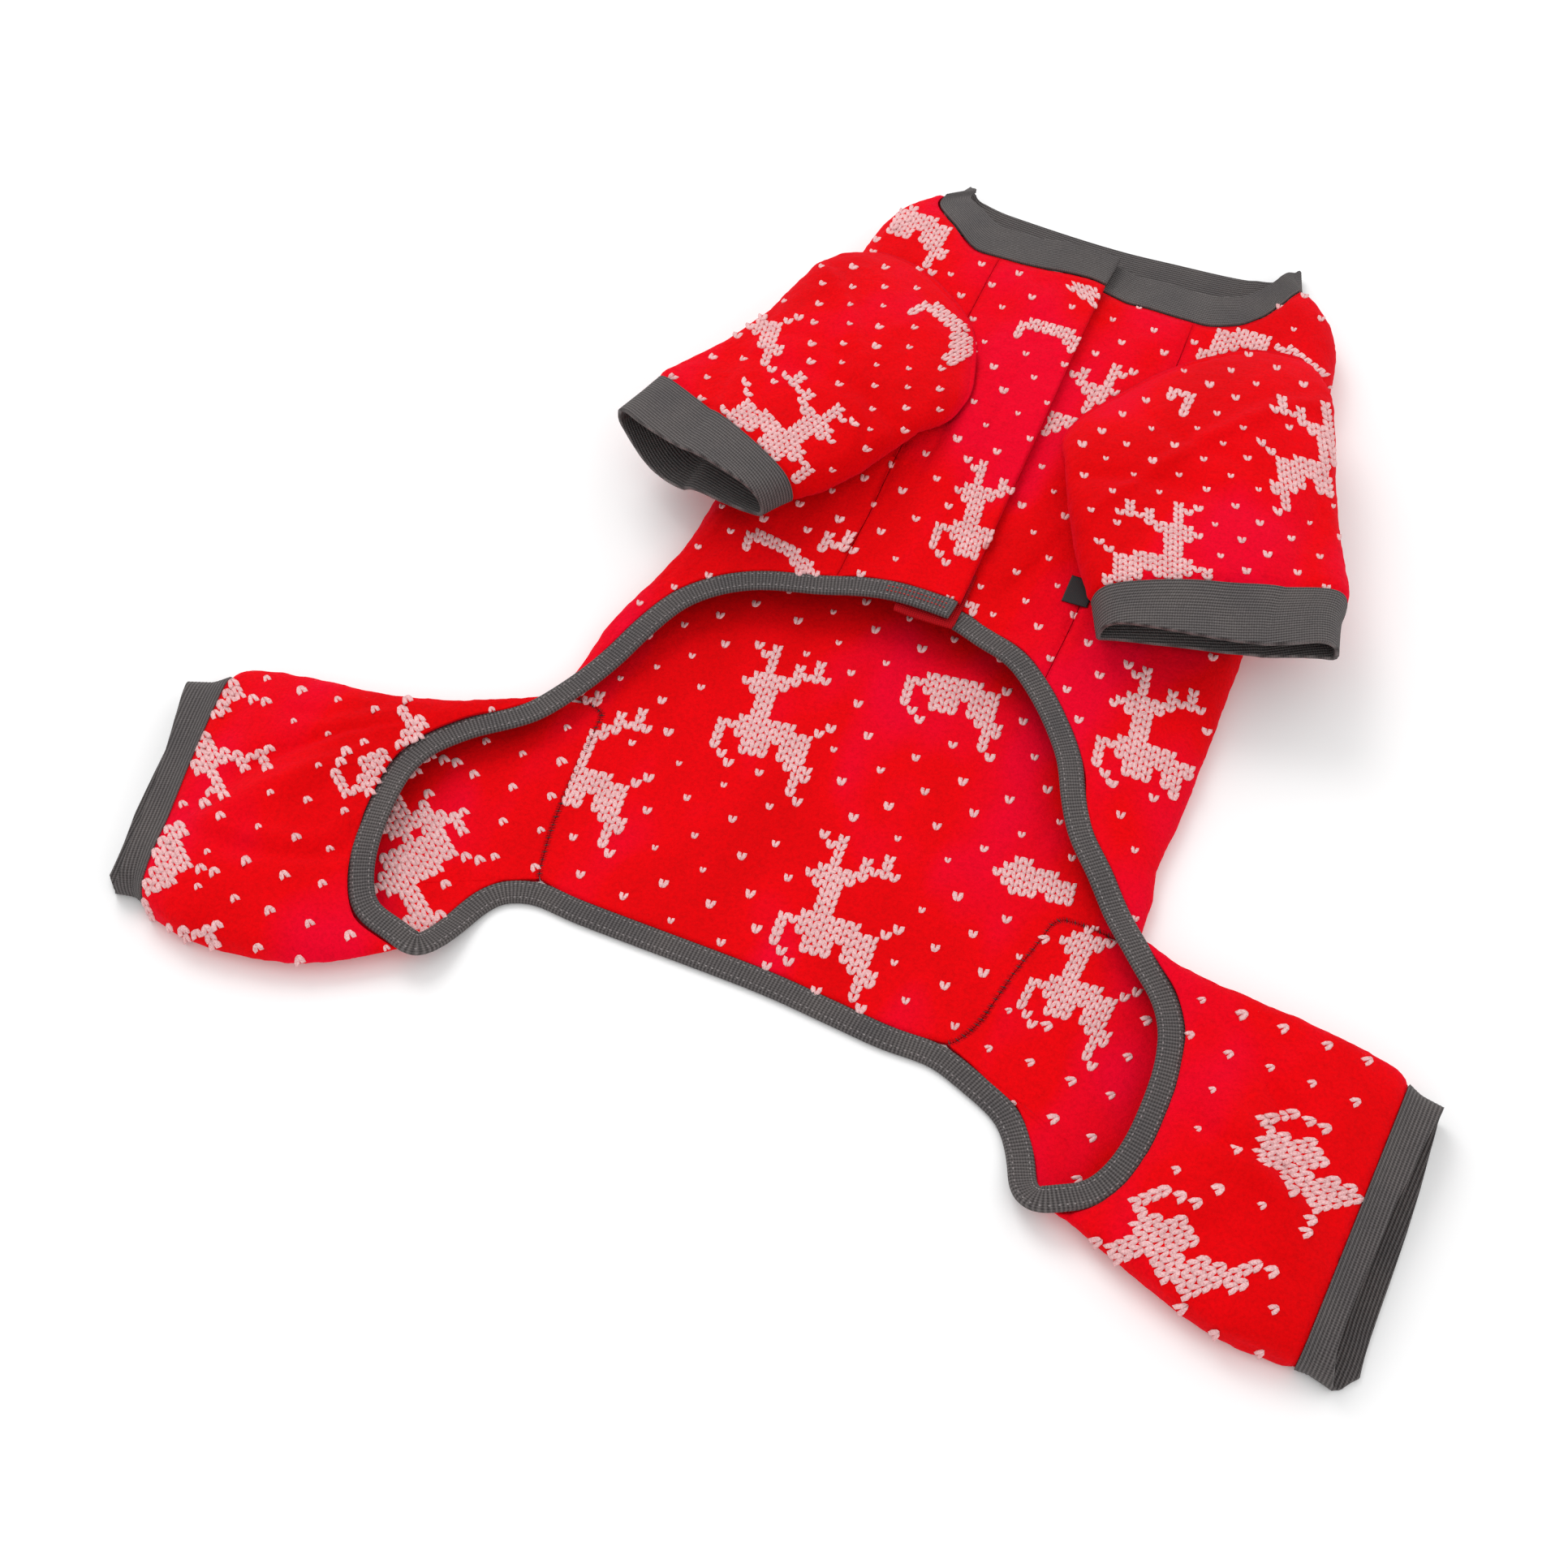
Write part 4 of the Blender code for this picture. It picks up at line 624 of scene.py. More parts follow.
# How fine the meshes are, and what the cloth looks like close up
CELL = 0.0021                # of the fleece
BACK_CELL = 0.0029           # of the back panel, which is the largest
RIB_CELL = 0.0024            # of the bands, along their ribs
RIB_PITCH = 0.0017           # from rib to rib
RIB_HIGH = 0.00016           # of the binding, whose ribs run across it
BAND_PITCH = 0.0017          # from line to line round the cuffs and the collar
BAND_HIGH = 0.00009          # how far these lines stand out
SEAM_SINK = 0.0011           # the cloth is drawn in at a seam
SEAM_REACH = 0.0028
ROOT_SINK = 0.0019           # and where a sleeve leaves the body
ROOT_REACH = 0.0050
PILE_HIGH = 0.00060          # unevenness of the plush
RIPPLE_HIGH = 0.0016         # slow unevenness of the lying cloth
BINDING_SHOWN = 0.0118       # width of the dressed binding
TAB_SHOWN = 0.0048           # how far the dressed tab reaches out under it

# Knit pattern, in millimetres of the garment's own plan
PLAN_BACK = 98.0             # from the plan's middle to the rump edge's end of the tables

# Soft creases where the cloth has slumped: height in plan, width, depth, then points of the line
CREASES = {
    "left_hind_leg": ((4.5, -2.4, (-190, -100), (-193, -123), (-210, -138), (-237, -143), (-262, -142)),
                      (3.5, 1.4, (-199, -104), (-202, -121), (-216, -131), (-238, -135), (-260, -134)),
                      (4.0, -1.2, (-215, -45), (-235, -62), (-262, -70))),
    "right_hind_leg": ((4.5, -2.6, (188, -98), (210, -110), (230, -114), (256, -122)),
                       (4.0, 1.3, (192, -108), (210, -119), (230, -123), (254, -131)),
                       (4.0, -1.2, (205, -150), (232, -150), (262, -158))),
    "left_chest_panel": ((1.1, -0.8, (-9, 345), (-10, 240), (-9, 110)),
                         (2.6, -1.0, (-34, 340), (-31, 250), (-33, 180), (-50, 125))),
    "right_chest_panel": ((3.0, -1.3, (48, 176), (40, 150), (30, 128)),
                          (3.5, -1.0, (62, 130), (45, 112), (24, 108))),
    "left_sleeve": ((5.0, -1.3, (-150, 225), (-110, 230), (-75, 215)),
                    (4.5, 1.0, (-60, 285), (-75, 250), (-78, 215))),
    "right_sleeve": ((5.0, -1.3, (60, 250), (90, 232), (130, 228)),
                     (4.5, 1.0, (120, 300), (128, 260), (122, 220))),
}

PLAN_REACH = 420             # the dots end this far from the plan's middle
DOT_CLEAR = 8.5              # between a dot and a figure
DOT_STRAY = 2.2              # how unevenly the dots stand
LEAST_FACING = 0.16          # of the camera's line, below which cloth is too steep for a stitch
LONGEST_STEP = 0.0080        # of a stitch stretched over steep cloth, in metres

# The knitted reindeer, facing left, drawn as rows of stitches: row, first stitch, last stitch
REINDEER = (
    (-10, -4, -4), (-10, -2, -2), (-9, -3, -2), (-9, 3, 3), (-8, -2, -2), (-8, 1, 1), (-8, 3, 3),
    (-7, -2, -2), (-7, 1, 2), (-7, 3, 4), (-6, -3, 0), (-6, 1, 1), (-5, -4, 0), (-4, -3, -1),
    (-3, -2, -1), (-2, -2, -1), (-1, -2, -1), (-1, 6, 6), (0, -3, 2), (0, 5, 5), (1, -5, 4),
    (2, -5, -5), (2, -3, 4), (3, -5, -5), (3, -2, 0), (3, 2, 4), (4, -5, -5), (4, -2, 0), (4, 2, 4),
    (5, -4, -4), (5, 3, 5), (6, -3, -3), (6, 4, 5), (7, 4, 4), (8, 4, 4), (9, 5, 5),
)

# Its back alone, as it shows where a seam cuts it
REINDEER_BACK = (
    (0, -4, 1), (1, -5, 3), (2, -5, -5), (2, 1, 4), (3, -5, -5), (3, 2, 4), (4, 3, 4), (5, 3, 4),
)

# Where the figures are: region, figure, faces (1 left, -1 right), height of the plan, place of its middle,
# the way of a stitch (one stitch across, one row down), first and last row, first and last stitch;
# all in millimetres of the plan
WHOLE = (-10, 9, -9, 9)
UPRIGHT = ((4.65, 0.00), (0.00, -4.55))
INSIDE_WAY = ((4.60, 0.65), (0.63, -4.50))
LEFT_LEG_WAY = ((-2.80, -3.71), (-3.63, 2.74))
RIGHT_LEG_WAY = ((-3.29, 3.29), (3.22, 3.22))
FIGURES = (
    ("inside", REINDEER, 1, 3, (-50, 30), INSIDE_WAY, WHOLE),
    ("inside", REINDEER, 1, 3, (20, -61), ((4.63, 0.41), (0.40, -4.35)), WHOLE),
    ("inside", REINDEER, 1, 3, (24, 89), INSIDE_WAY, (0, 9, -9, 9)),
    ("inside", REINDEER, 1, 3, (94, -1), ((4.20, 0.65), (0.63, -4.10)), (-1, 3, -4, 4)),
    ("inside", REINDEER, 1, 3, (-118, -30), INSIDE_WAY, WHOLE),
    ("left_leg", REINDEER, -1, 18, (-188.6, -82.1), LEFT_LEG_WAY, WHOLE),
    ("left_leg", REINDEER, -1, 16, (-289.9, -84.4), LEFT_LEG_WAY, WHOLE),
    ("left_leg", REINDEER, -1, 14, (-262, -176), LEFT_LEG_WAY, WHOLE),
    ("left_leg", REINDEER, -1, 3, (-160, -118), LEFT_LEG_WAY, WHOLE),
    ("right_leg", REINDEER, -1, 18, (234, -110.8), ((-3.29, 3.29), (3.60, 2.60)), (-1, 9, -9, 9)),
    ("right_leg", REINDEER, -1, 16, (196.9, -166.3), RIGHT_LEG_WAY, WHOLE),
    ("right_leg", REINDEER, 1, 3, (132, -50), ((3.90, 0.40), (-0.30, -4.20)), WHOLE),
    ("chest_left", REINDEER, 1, 44, (10.2, 150.2), ((4.10, 0.20), (0.60, -4.30)), WHOLE),
    ("chest_right", REINDEER, -1, 44, (31.4, 239.3), UPRIGHT, (-10, 3, -5, 2)),
    ("chest_left", REINDEER_BACK, 1, 44, (2, 301), ((4.20, 0.00), (0.00, -4.40)), WHOLE),
    ("chest_left", REINDEER, 1, 44, (25.7, 314.4), ((4.65, 0.00), (2.60, -3.70)), (-6, -1, -9, 9)),
    ("left_sleeve", REINDEER_BACK, 1, 44, (-48, 284.7), ((4.10, -2.18), (-2.14, -4.00)), WHOLE),
    ("left_sleeve", REINDEER, -1, 44, (-101.5, 173.9), ((5.10, -3.40), (-1.20, -3.20)), WHOLE),
    ("left_sleeve", REINDEER, 1, 44, (-157.4, 246.2), ((4.60, 0.80), (0.70, -4.10)), WHOLE),
    ("right_sleeve", REINDEER, -1, 44, (153, 257), ((4.65, 0.00), (1.55, -4.27)), WHOLE),
    ("right_sleeve", REINDEER, -1, 44, (59, 284), UPRIGHT, (1, 4, -5, -3)),
    ("right_sleeve", REINDEER, -1, 44, (98.6, 167), ((4.70, 0.80), (1.00, -3.50)), WHOLE),
    ("chest", REINDEER_BACK, 1, 44, (133.5, 325), ((4.03, -2.30), (-2.30, -3.90)), WHOLE),
    ("chest", REINDEER, -1, 44, (102, 336), UPRIGHT, (0, 9, -1, 6)),
    ("chest", REINDEER, 1, 44, (-101, 357), UPRIGHT, (-6, 9, -9, 9)),
    ("chest", REINDEER, 1, 44, (-121, 340), UPRIGHT, (-9, -6, 1, 4)),
    ("chest", REINDEER_BACK, 1, 44, (-72, 104), ((4.20, -0.70), (0.70, -3.90)), WHOLE),
    ("chest", REINDEER, 1, 44, (-61.4, 82), UPRIGHT, (-9, -6, 1, 4)),
    ("chest_right", REINDEER, -1, 44, (10, 107), ((3.50, 0.00), (0.30, -3.90)), (-1, 5, -9, 1)),
    ("chest", REINDEER, 1, 30, (124, 66), ((4.65, 0.00), (0.60, -4.30)), WHOLE),
)

# The dots between them: region, height of the plan, one dot's place, steps to the next ones, way of a stitch
DOTS = (
    ("inside", 3, (-78.5, -11.2), (13.1, 13.3), (11.5, -16.4), INSIDE_WAY),
    ("left_leg", 17, (-251, -68), (18.7, 1.2), (5.2, -19.1), LEFT_LEG_WAY),
    ("right_leg", 17, (216, -148), (18.2, -0.6), (-1.2, -20.3), RIGHT_LEG_WAY),
    ("chest", 42, (2, 232), (11.3, 14.5), (11.3, -14.5), ((4.55, 0.15), (0.40, -4.40))),
    ("left_sleeve", 46, (-76, 233), (16.3, 5.5), (4.5, -14.5), ((4.40, -1.30), (-1.20, -3.90))),
    ("right_sleeve", 46, (70, 210), (15.2, -5.0), (-6.5, -14.5), ((4.50, 0.80), (1.00, -4.00))),
)
REGIONS = {
    "inside": ("back_panel",),
    "left_leg": ("left_hind_leg",),
    "right_leg": ("right_hind_leg",),
    "chest": ("back_panel", "left_chest_panel", "right_chest_panel"),
    "chest_left": ("left_chest_panel",),
    "chest_right": ("right_chest_panel",),
    "left_sleeve": ("left_sleeve",),
    "right_sleeve": ("right_sleeve",),
}
INSIDE_TOP = 0.0125          # what lies lower than this is the inside, seen through the belly opening


def garment_shift():
    """From the garment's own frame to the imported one: the back panel's surface set on its node."""
    a = np.linspace(0.5 - CHEST_SEAM, 1 + CHEST_SEAM, 240)
    around, along = np.meshgrid(a, np.linspace(0, 1, 60), indexing="ij")
    points = torso(around, along).reshape(-1, 3)
    low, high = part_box("back_panel")
    middle = (points.min(axis=0) + points.max(axis=0)) / 2
    return np.array([(low[0] + high[0]) / 2 - middle[0], (low[1] + high[1]) / 2 - middle[1], 0.0])


SHIFT = garment_shift()


def hashed(i, j, k):
    """A repeatable number from 0 to 1 for each whole-numbered place."""
    value = np.sin(i * 127.1 + j * 311.7 + k * 74.7) * 43758.5453
    return value - np.floor(value)


def noise(points, size, seed=0.0):
    """Smooth noise from -1 to 1 with bumps of the given size."""
    q = points / size + seed
    cell = np.floor(q)
    f = q - cell
    f = f * f * (3 - 2 * f)
    total = 0
    for dx in (0, 1):
        for dy in (0, 1):
            for dz in (0, 1):
                weight = ((f[..., 0] if dx else 1 - f[..., 0]) * (f[..., 1] if dy else 1 - f[..., 1])
                          * (f[..., 2] if dz else 1 - f[..., 2]))
                total = total + weight * hashed(cell[..., 0] + dx, cell[..., 1] + dy, cell[..., 2] + dz)
    return total * 2 - 1


def ripple(points):
    """Lifts and lowers what lies above the floor, alike for all layers, so that they stay apart."""
    flat = points * np.array([1.0, 1.0, 0.0])
    slow = noise(flat, 0.055, 3.7) * 0.6 + noise(flat, 0.026, 9.1) * 0.4
    free = smoothstep((points[..., 2] - 0.003) / 0.010)
    moved = points.copy()
    moved[..., 2] += slow * RIPPLE_HIGH * free
    return moved


def to_world(plan, height):
    """A place in the garment's plan, in millimetres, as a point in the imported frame."""
    plan = np.asarray(plan, dtype=float)
    up = np.full(plan.shape[:-1], float(height))
    flat = np.stack([plan[..., 0], plan[..., 1] + PLAN_BACK, up], axis=-1)
    return flat / 1000 + SHIFT


def creased(name, points):
    """Presses the slumped folds of a piece into its upper layer."""
    if name not in CREASES:
        return points
    moved = points.copy()
    upper = smoothstep((points[..., 2] - 0.007) / 0.006)
    flat = (points[..., :2] - SHIFT[:2]) * 1000 - np.array([0.0, PLAN_BACK])
    for width, depth, *line in CREASES[name]:
        line = np.array(line, dtype=float)
        nearest = np.full(flat.shape[:-1], 1e9)
        share = np.zeros(flat.shape[:-1])
        for k in range(len(line) - 1):
            run = line[k + 1] - line[k]
            at = np.clip(((flat - line[k]) @ run) / (run @ run), 0, 1)
            away = np.linalg.norm(flat - line[k] - at[..., None] * run, axis=-1)
            share = np.where(away < nearest, (k + at) / (len(line) - 1), share)
            nearest = np.minimum(nearest, away)
        fade = np.sin(math.pi * np.clip(share, 0.02, 0.98)) ** 0.5
        moved[..., 2] += upper * fade * depth / 1000 * np.exp(-(nearest / width) ** 2)
    return moved


def grid_normals(points, ring):
    if ring:
        du = np.roll(points, -1, axis=0) - np.roll(points, 1, axis=0)
    else:
        du = np.gradient(points, axis=0)
    dv = np.gradient(points, axis=1)
    n = np.cross(du, dv)
    return n / np.maximum(np.linalg.norm(n, axis=-1, keepdims=True), 1e-15)


def run_lengths(points, axis):
    step = np.linalg.norm(np.diff(points, axis=axis), axis=-1)
    total = np.cumsum(step, axis=axis)
    pad = [(0, 0), (0, 0)]
    pad[axis] = (1, 0)
    return np.pad(total, pad)


def make_mesh(name, points, faces, material_made, uv=None):
    mesh = bpy.data.meshes.new(name)
    mesh.from_pydata(points.tolist(), [], faces)
    mesh.update()
    mesh.shade_smooth()
    if uv is not None:
        layer = mesh.uv_layers.new(name="cloth")
        index = np.empty(len(mesh.loops), dtype=np.int32)
        mesh.loops.foreach_get("vertex_index", index)
        layer.data.foreach_set("uv", uv[index].astype(np.float32).ravel())
    mesh.materials.append(material_made)
    piece = bpy.data.objects.new(name, mesh)
    bpy.context.scene.collection.objects.link(piece)
    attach(piece, "root")
    return piece


def grid_faces(rows, columns, ring):
    """Quads of the outer and inner face and of the rims of a closed sheet."""
    half = rows * columns
    span = rows if ring else rows - 1
    i = np.arange(span)[:, None]
    k = (i + 1) % rows
    j = np.arange(columns - 1)[None, :]
    a, b, c, d = i * columns + j, k * columns + j, k * columns + j + 1, i * columns + j + 1
    outer = np.stack([a, b, c, d], axis=-1).reshape(-1, 4)
    inner = np.stack([d, c, b, a], axis=-1).reshape(-1, 4) + half
    faces = [outer, inner]
    i, k = i[:, 0], k[:, 0]
    for j, flip in ((0, False), (columns - 1, True)):
        a, b = i * columns + j, k * columns + j
        rim = np.stack([half + a, half + b, b, a], axis=-1)
        faces.append(rim[:, ::-1] if flip else rim)
    if not ring:
        j = np.arange(columns - 1)
        for i, flip in ((0, True), (rows - 1, False)):
            a, b = i * columns + j, i * columns + j + 1
            rim = np.stack([half + a, half + b, b, a], axis=-1)
            faces.append(rim[:, ::-1] if flip else rim)
    return np.concatenate(faces).tolist()


class Cloth:
    """A sewn piece on a fine grid, with what the pattern and the stitching need to find their places."""

    def __init__(self, name, surface, u, v, wall, look, ring=False, top=0.25, down=False, seams=(1, 1, 1, 1),
                 pile=PILE_HIGH, root=False):
        uu, vv = np.meshgrid(u, v, indexing="ij")
        points = creased(name, ripple(surface(uu, vv) + SHIFT))
        normal = grid_normals(points, ring)
        towards = normal[int(np.argmin(np.abs(np.asarray(u) - top))), :, 2].mean()
        sign = 1.0 if (towards > 0) != down else -1.0
        outward = normal * sign
        around, along = run_lengths(points, 0), run_lengths(points, 1)
        borders = []
        if not ring:
            borders += [around if seams[0] else None, around[-1:] - around if seams[1] else None]
        borders += [along if seams[2] else None, along[:, -1:] - along if seams[3] else None]
        borders = [border for border in borders if border is not None]
        near = np.min(borders, axis=0) if borders else np.full(around.shape, 1.0)
        drawn = SEAM_SINK * np.exp(-(near / SEAM_REACH) ** 2) if pile else 0 * near
        if root:
            drawn = np.maximum(drawn, ROOT_SINK * np.exp(-(along / ROOT_REACH) ** 2))
        rounded = 0.45 * np.exp(-(near / 0.0011) ** 2)
        rough = (0.55 * noise(points, 0.0030, 1.3) + 0.45 * noise(points, 0.0062, 5.2)) * pile
        half = wall / 2 * (1 - rounded)
        banded = look is LOOKS["grey_rib"]
        if banded:
            rough = BAND_HIGH * np.cos(2 * math.pi * along / BAND_PITCH)
        outer = points + outward * (half + rough - drawn)[..., None]
        inner = points - outward * (half + rough * 0.6 - drawn * 0.6)[..., None]
        self.points, self.ring = points, ring
        rows, columns = uu.shape
        both = np.concatenate([outer.reshape(-1, 3), inner.reshape(-1, 3)])
        both[:, 2] = np.maximum(both[:, 2], 0.0)
        faces = grid_faces(rows, columns, ring)
        if sign < 0:
            faces = [face[::-1] for face in faces]
        flat = np.stack([along, around] if banded else [around, along], axis=-1).reshape(-1, 2)
        self.faces, self.both = faces, both
        self.piece = make_mesh(name, both, faces, look, np.concatenate([flat, flat]))

    def flat_size(self):
        """The cut's width and length laid flat, and its area."""
        span = np.concatenate([self.points, self.points[:1]]) if self.ring else self.points
        step_u = np.diff(span, axis=0)
        step_v = np.diff(span, axis=1)
        cells = np.cross(step_u[:, :-1], step_v[:-1])
        area = float(np.linalg.norm(cells, axis=-1).sum())
        width = float(np.linalg.norm(step_u, axis=-1).sum(axis=0).max())
        length = float(np.linalg.norm(step_v, axis=-1).sum(axis=1).max())
        return round(width, 4), round(length, 4), round(min(area, 0.996 * width * length), 6)


def fine(places, surface, cell, v=0.5):
    """Adds places between the given ones, so that steps along the surface are about one cell long."""
    places = np.asarray(places, dtype=float)
    out = [places[:1]]
    for start, end in zip(places[:-1], places[1:]):
        probe = np.linspace(start, end, 9)
        longest = 1e-9
        for at in np.atleast_1d(v):
            points = surface(probe, np.full(9, at))
            longest = max(longest, np.linalg.norm(np.diff(points, axis=0), axis=1).sum())
        count = max(1, int(math.ceil(longest / cell)))
        out.append(np.linspace(start, end, count + 1)[1:])
    return np.concatenate(out)


def fine_along(places, surface, cell, u=(0.25,)):
    return fine(places, lambda v, at: surface(at, v), cell, u)


LOOKS = {}


class Shading:
    """Puts the nodes of one material together."""

    def __init__(self, name, roughness, specular, sheen=0.0, sheen_tint=(1, 1, 1), sheen_roughness=0.5):
        made = bpy.data.materials.new(name)
        made.use_nodes = True
        self.nodes, self.links = made.node_tree.nodes, made.node_tree.links
        self.shader = self.nodes["Principled BSDF"]
        for socket, value in (("Roughness", roughness), ("Specular IOR Level", specular),
                              ("Sheen Weight", sheen), ("Sheen Roughness", sheen_roughness),
                              ("Sheen Tint", (*sheen_tint, 1))):
            self.shader.inputs[socket].default_value = value
        self.place = self.nodes.new("ShaderNodeTexCoord")
        self.bump_before = None
        LOOKS[name] = made

    def noise(self, scale, detail=2.0, stretch=None, rough=0.5):
        node = self.nodes.new("ShaderNodeTexNoise")
        node.inputs["Scale"].default_value = scale
        node.inputs["Detail"].default_value = detail
        node.inputs["Roughness"].default_value = rough
        source = self.place.outputs["Object"]
        if stretch is not None:
            mapping = self.nodes.new("ShaderNodeMapping")
            mapping.inputs["Scale"].default_value = stretch
            self.links.new(source, mapping.inputs["Vector"])
            source = mapping.outputs["Vector"]
        self.links.new(source, node.inputs["Vector"])
        return node.outputs["Fac"]

    def ramp(self, value, stops):
        node = self.nodes.new("ShaderNodeValToRGB")
        while len(node.color_ramp.elements) < len(stops):
            node.color_ramp.elements.new(0.5)
        for element, (at, colour) in zip(node.color_ramp.elements, stops):
            element.position = at
            element.color = (*colour, 1)
        self.links.new(value, node.inputs["Fac"])
        return node.outputs["Color"]

    def mix(self, kind, share, first, second):
        node = self.nodes.new("ShaderNodeMix")
        node.data_type = "RGBA"
        node.blend_type = kind
        if isinstance(share, float):
            node.inputs["Factor"].default_value = share
        else:
            self.links.new(share, node.inputs["Factor"])
        self.links.new(first, node.inputs[6])
        self.links.new(second, node.inputs[7])
        return node.outputs[2]

    def sum(self, operation, first, second):
        node = self.nodes.new("ShaderNodeMath")
        node.operation = operation
        for k, value in enumerate((first, second)):
            if isinstance(value, (int, float)):
                node.inputs[k].default_value = value
            else:
                self.links.new(value, node.inputs[k])
        return node.outputs[0]

    def cloth_way(self, axis):
        """How far along (1) or around (0) the cloth a place is, in metres."""
        uv = self.nodes.new("ShaderNodeUVMap")
        uv.uv_map = "cloth"
        split = self.nodes.new("ShaderNodeSeparateXYZ")
        self.links.new(uv.outputs["UV"], split.inputs["Vector"])
        return split.outputs[axis]

    def waves(self, way, pitch, shift=0.0):
        node = self.sum("SINE", self.sum("ADD", self.sum("MULTIPLY", way, 2 * math.pi / pitch), shift), 0.0)
        return self.sum("ADD", self.sum("MULTIPLY", node, 0.5), 0.5)

    def colour(self, value):
        self.links.new(value, self.shader.inputs["Base Color"])

    def roughness(self, value):
        self.links.new(value, self.shader.inputs["Roughness"])

    def bump(self, height, distance, strength=1.0):
        node = self.nodes.new("ShaderNodeBump")
        node.inputs["Distance"].default_value = distance
        node.inputs["Strength"].default_value = strength
        self.links.new(height, node.inputs["Height"])
        if self.bump_before is not None:
            self.links.new(self.bump_before, node.inputs["Normal"])
        self.bump_before = node.outputs["Normal"]
        self.links.new(self.bump_before, self.shader.inputs["Normal"])


def make_looks():
    """Plush fleece, rib knit, hook-and-loop, woven label and the pale and dark yarns."""
    fleece = Shading("red_fleece", 0.95, 0.06, sheen=0.30, sheen_tint=(1.0, 0.03, 0.10), sheen_roughness=0.45)
    # Slow patches of the brushed pile: the red's tone differs at random between the first two stops, and the
    # crimson of the last stop is painted sheen.
    pile_tone_and_sheen = fleece.noise(16.0, 2.0, stretch=(1.0, 0.55, 1.0))
    fine_pile = fleece.noise(620.0, 4.0, rough=0.7)
    base = fleece.ramp(pile_tone_and_sheen, ((0.36, (0.700, 0.0004, 0.0016)), (0.50, (0.780, 0.0005, 0.0028)),
                                 (0.66, (0.800, 0.0006, 0.0200))))
    # Fine speckle over the red: partly the pile's own uneven tone, partly painted highlight and shade among
    # its tufts.
    pile_speck_highlight = fleece.ramp(fine_pile, ((0.30, (0.80, 0.80, 0.80)), (0.55, (1.0, 1.0, 1.0)),
                                    (0.80, (1.12, 1.12, 1.12))))
    fleece.colour(fleece.mix("MULTIPLY", 1.0, base, pile_speck_highlight))
    fleece.roughness(fleece.sum("ADD", fleece.sum("MULTIPLY", fine_pile, 0.12), 0.84))
    fleece.bump(fine_pile, 0.0007, 0.55)
    fleece.bump(fleece.noise(240.0, 3.0), 0.0011, 0.30)

    rib = Shading("grey_rib", 0.9, 0.10, sheen=0.12, sheen_tint=(0.9, 0.88, 0.86))
    around, along = rib.cloth_way(0), rib.cloth_way(1)
    ribs = rib.waves(around, RIB_PITCH, math.pi / 2)
    loops = rib.waves(along, 0.00115)
    yarn = rib.noise(1500.0, 3.0, rough=0.7)
    worn = rib.noise(38.0, 2.0)
    # The grey is darker in the valleys between ribs and loops and lighter on their crests: painted shade and
    # highlight that follow the bump.
    rib_shaded_tone = rib.ramp(rib.sum("MULTIPLY", rib.sum("ADD", ribs, rib.sum("MULTIPLY", loops, 0.6)), 0.62),
                    ((0.0, (0.034, 0.030, 0.030)), (0.45, (0.090, 0.081, 0.080)),
                     (1.0, (0.165, 0.150, 0.147))))
    for value, stops in ((yarn, ((0.25, (0.62, 0.62, 0.62)), (0.75, (1.3, 1.3, 1.3)))),
                         (worn, ((0.3, (0.88, 0.88, 0.90)), (0.7, (1.08, 1.06, 1.05))))):
        rib_shaded_tone = rib.mix("MULTIPLY", 1.0, rib_shaded_tone, rib.ramp(value, stops))
    rib.colour(rib_shaded_tone)
    rib.bump(ribs, 0.0004, 0.6)
    rib.bump(rib.sum("MULTIPLY", loops, ribs), 0.0003, 0.6)
    rib.bump(yarn, 0.0002, 0.4)

    closure = Shading("red_closure", 0.8, 0.1, sheen=0.1, sheen_tint=(1.0, 0.05, 0.05))
    hooks = closure.waves(closure.cloth_way(0), 0.0011)
    rows = closure.waves(closure.cloth_way(1), 0.0013)
    grid = closure.sum("MULTIPLY", hooks, rows)
    # The red is darker between the hooks: painted shade in the hollows, following the bump.
    closure.colour(closure.ramp(grid, ((0.0, (0.30, 0.001, 0.004)), (1.0, (0.62, 0.006, 0.012)))))
    closure.bump(grid, 0.0005, 0.8)
    closure.bump(closure.noise(900.0, 2.0), 0.0003, 0.4)

    label = Shading("dark_label", 0.55, 0.35)
    threads_both = [label.waves(label.cloth_way(axis), 0.0006) for axis in (0, 1)]
    weave = label.sum("MULTIPLY", *threads_both)
    # The black is darker between the threads: painted shade in the hollows of the weave, following the bump.
    label.colour(label.ramp(weave, ((0.0, (0.006, 0.006, 0.007)), (1.0, (0.022, 0.021, 0.022)))))
    label.bump(weave, 0.0002, 0.5)

    for name, dark, light in (("pale_knit", (0.60, 0.20, 0.21), (0.93, 0.60, 0.60)),
                              ("dark_thread", (0.030, 0.024, 0.024), (0.075, 0.060, 0.060)),
                              ("grey_thread", (0.16, 0.145, 0.145), (0.36, 0.33, 0.33)),
                              ("deep_thread", (0.30, 0.002, 0.006), (0.55, 0.010, 0.020)),
                              ("red_thread", (0.42, 0.010, 0.014), (0.78, 0.060, 0.060))):
        yarn = Shading(name, 0.9, 0.08, sheen=0.2, sheen_tint=light)
        fuzz = yarn.noise(1300.0, 3.0, rough=0.7)
        tint = yarn.noise(90.0, 1.0)
        yarn.colour(yarn.mix("MULTIPLY", 0.5, yarn.ramp(fuzz, ((0.25, dark), (0.60, light))),
                             yarn.ramp(tint, ((0.3, (0.80, 0.72, 0.72)), (0.7, (1.0, 1.0, 1.0))))))
        yarn.bump(fuzz, 0.0004, 0.6)


make_looks()


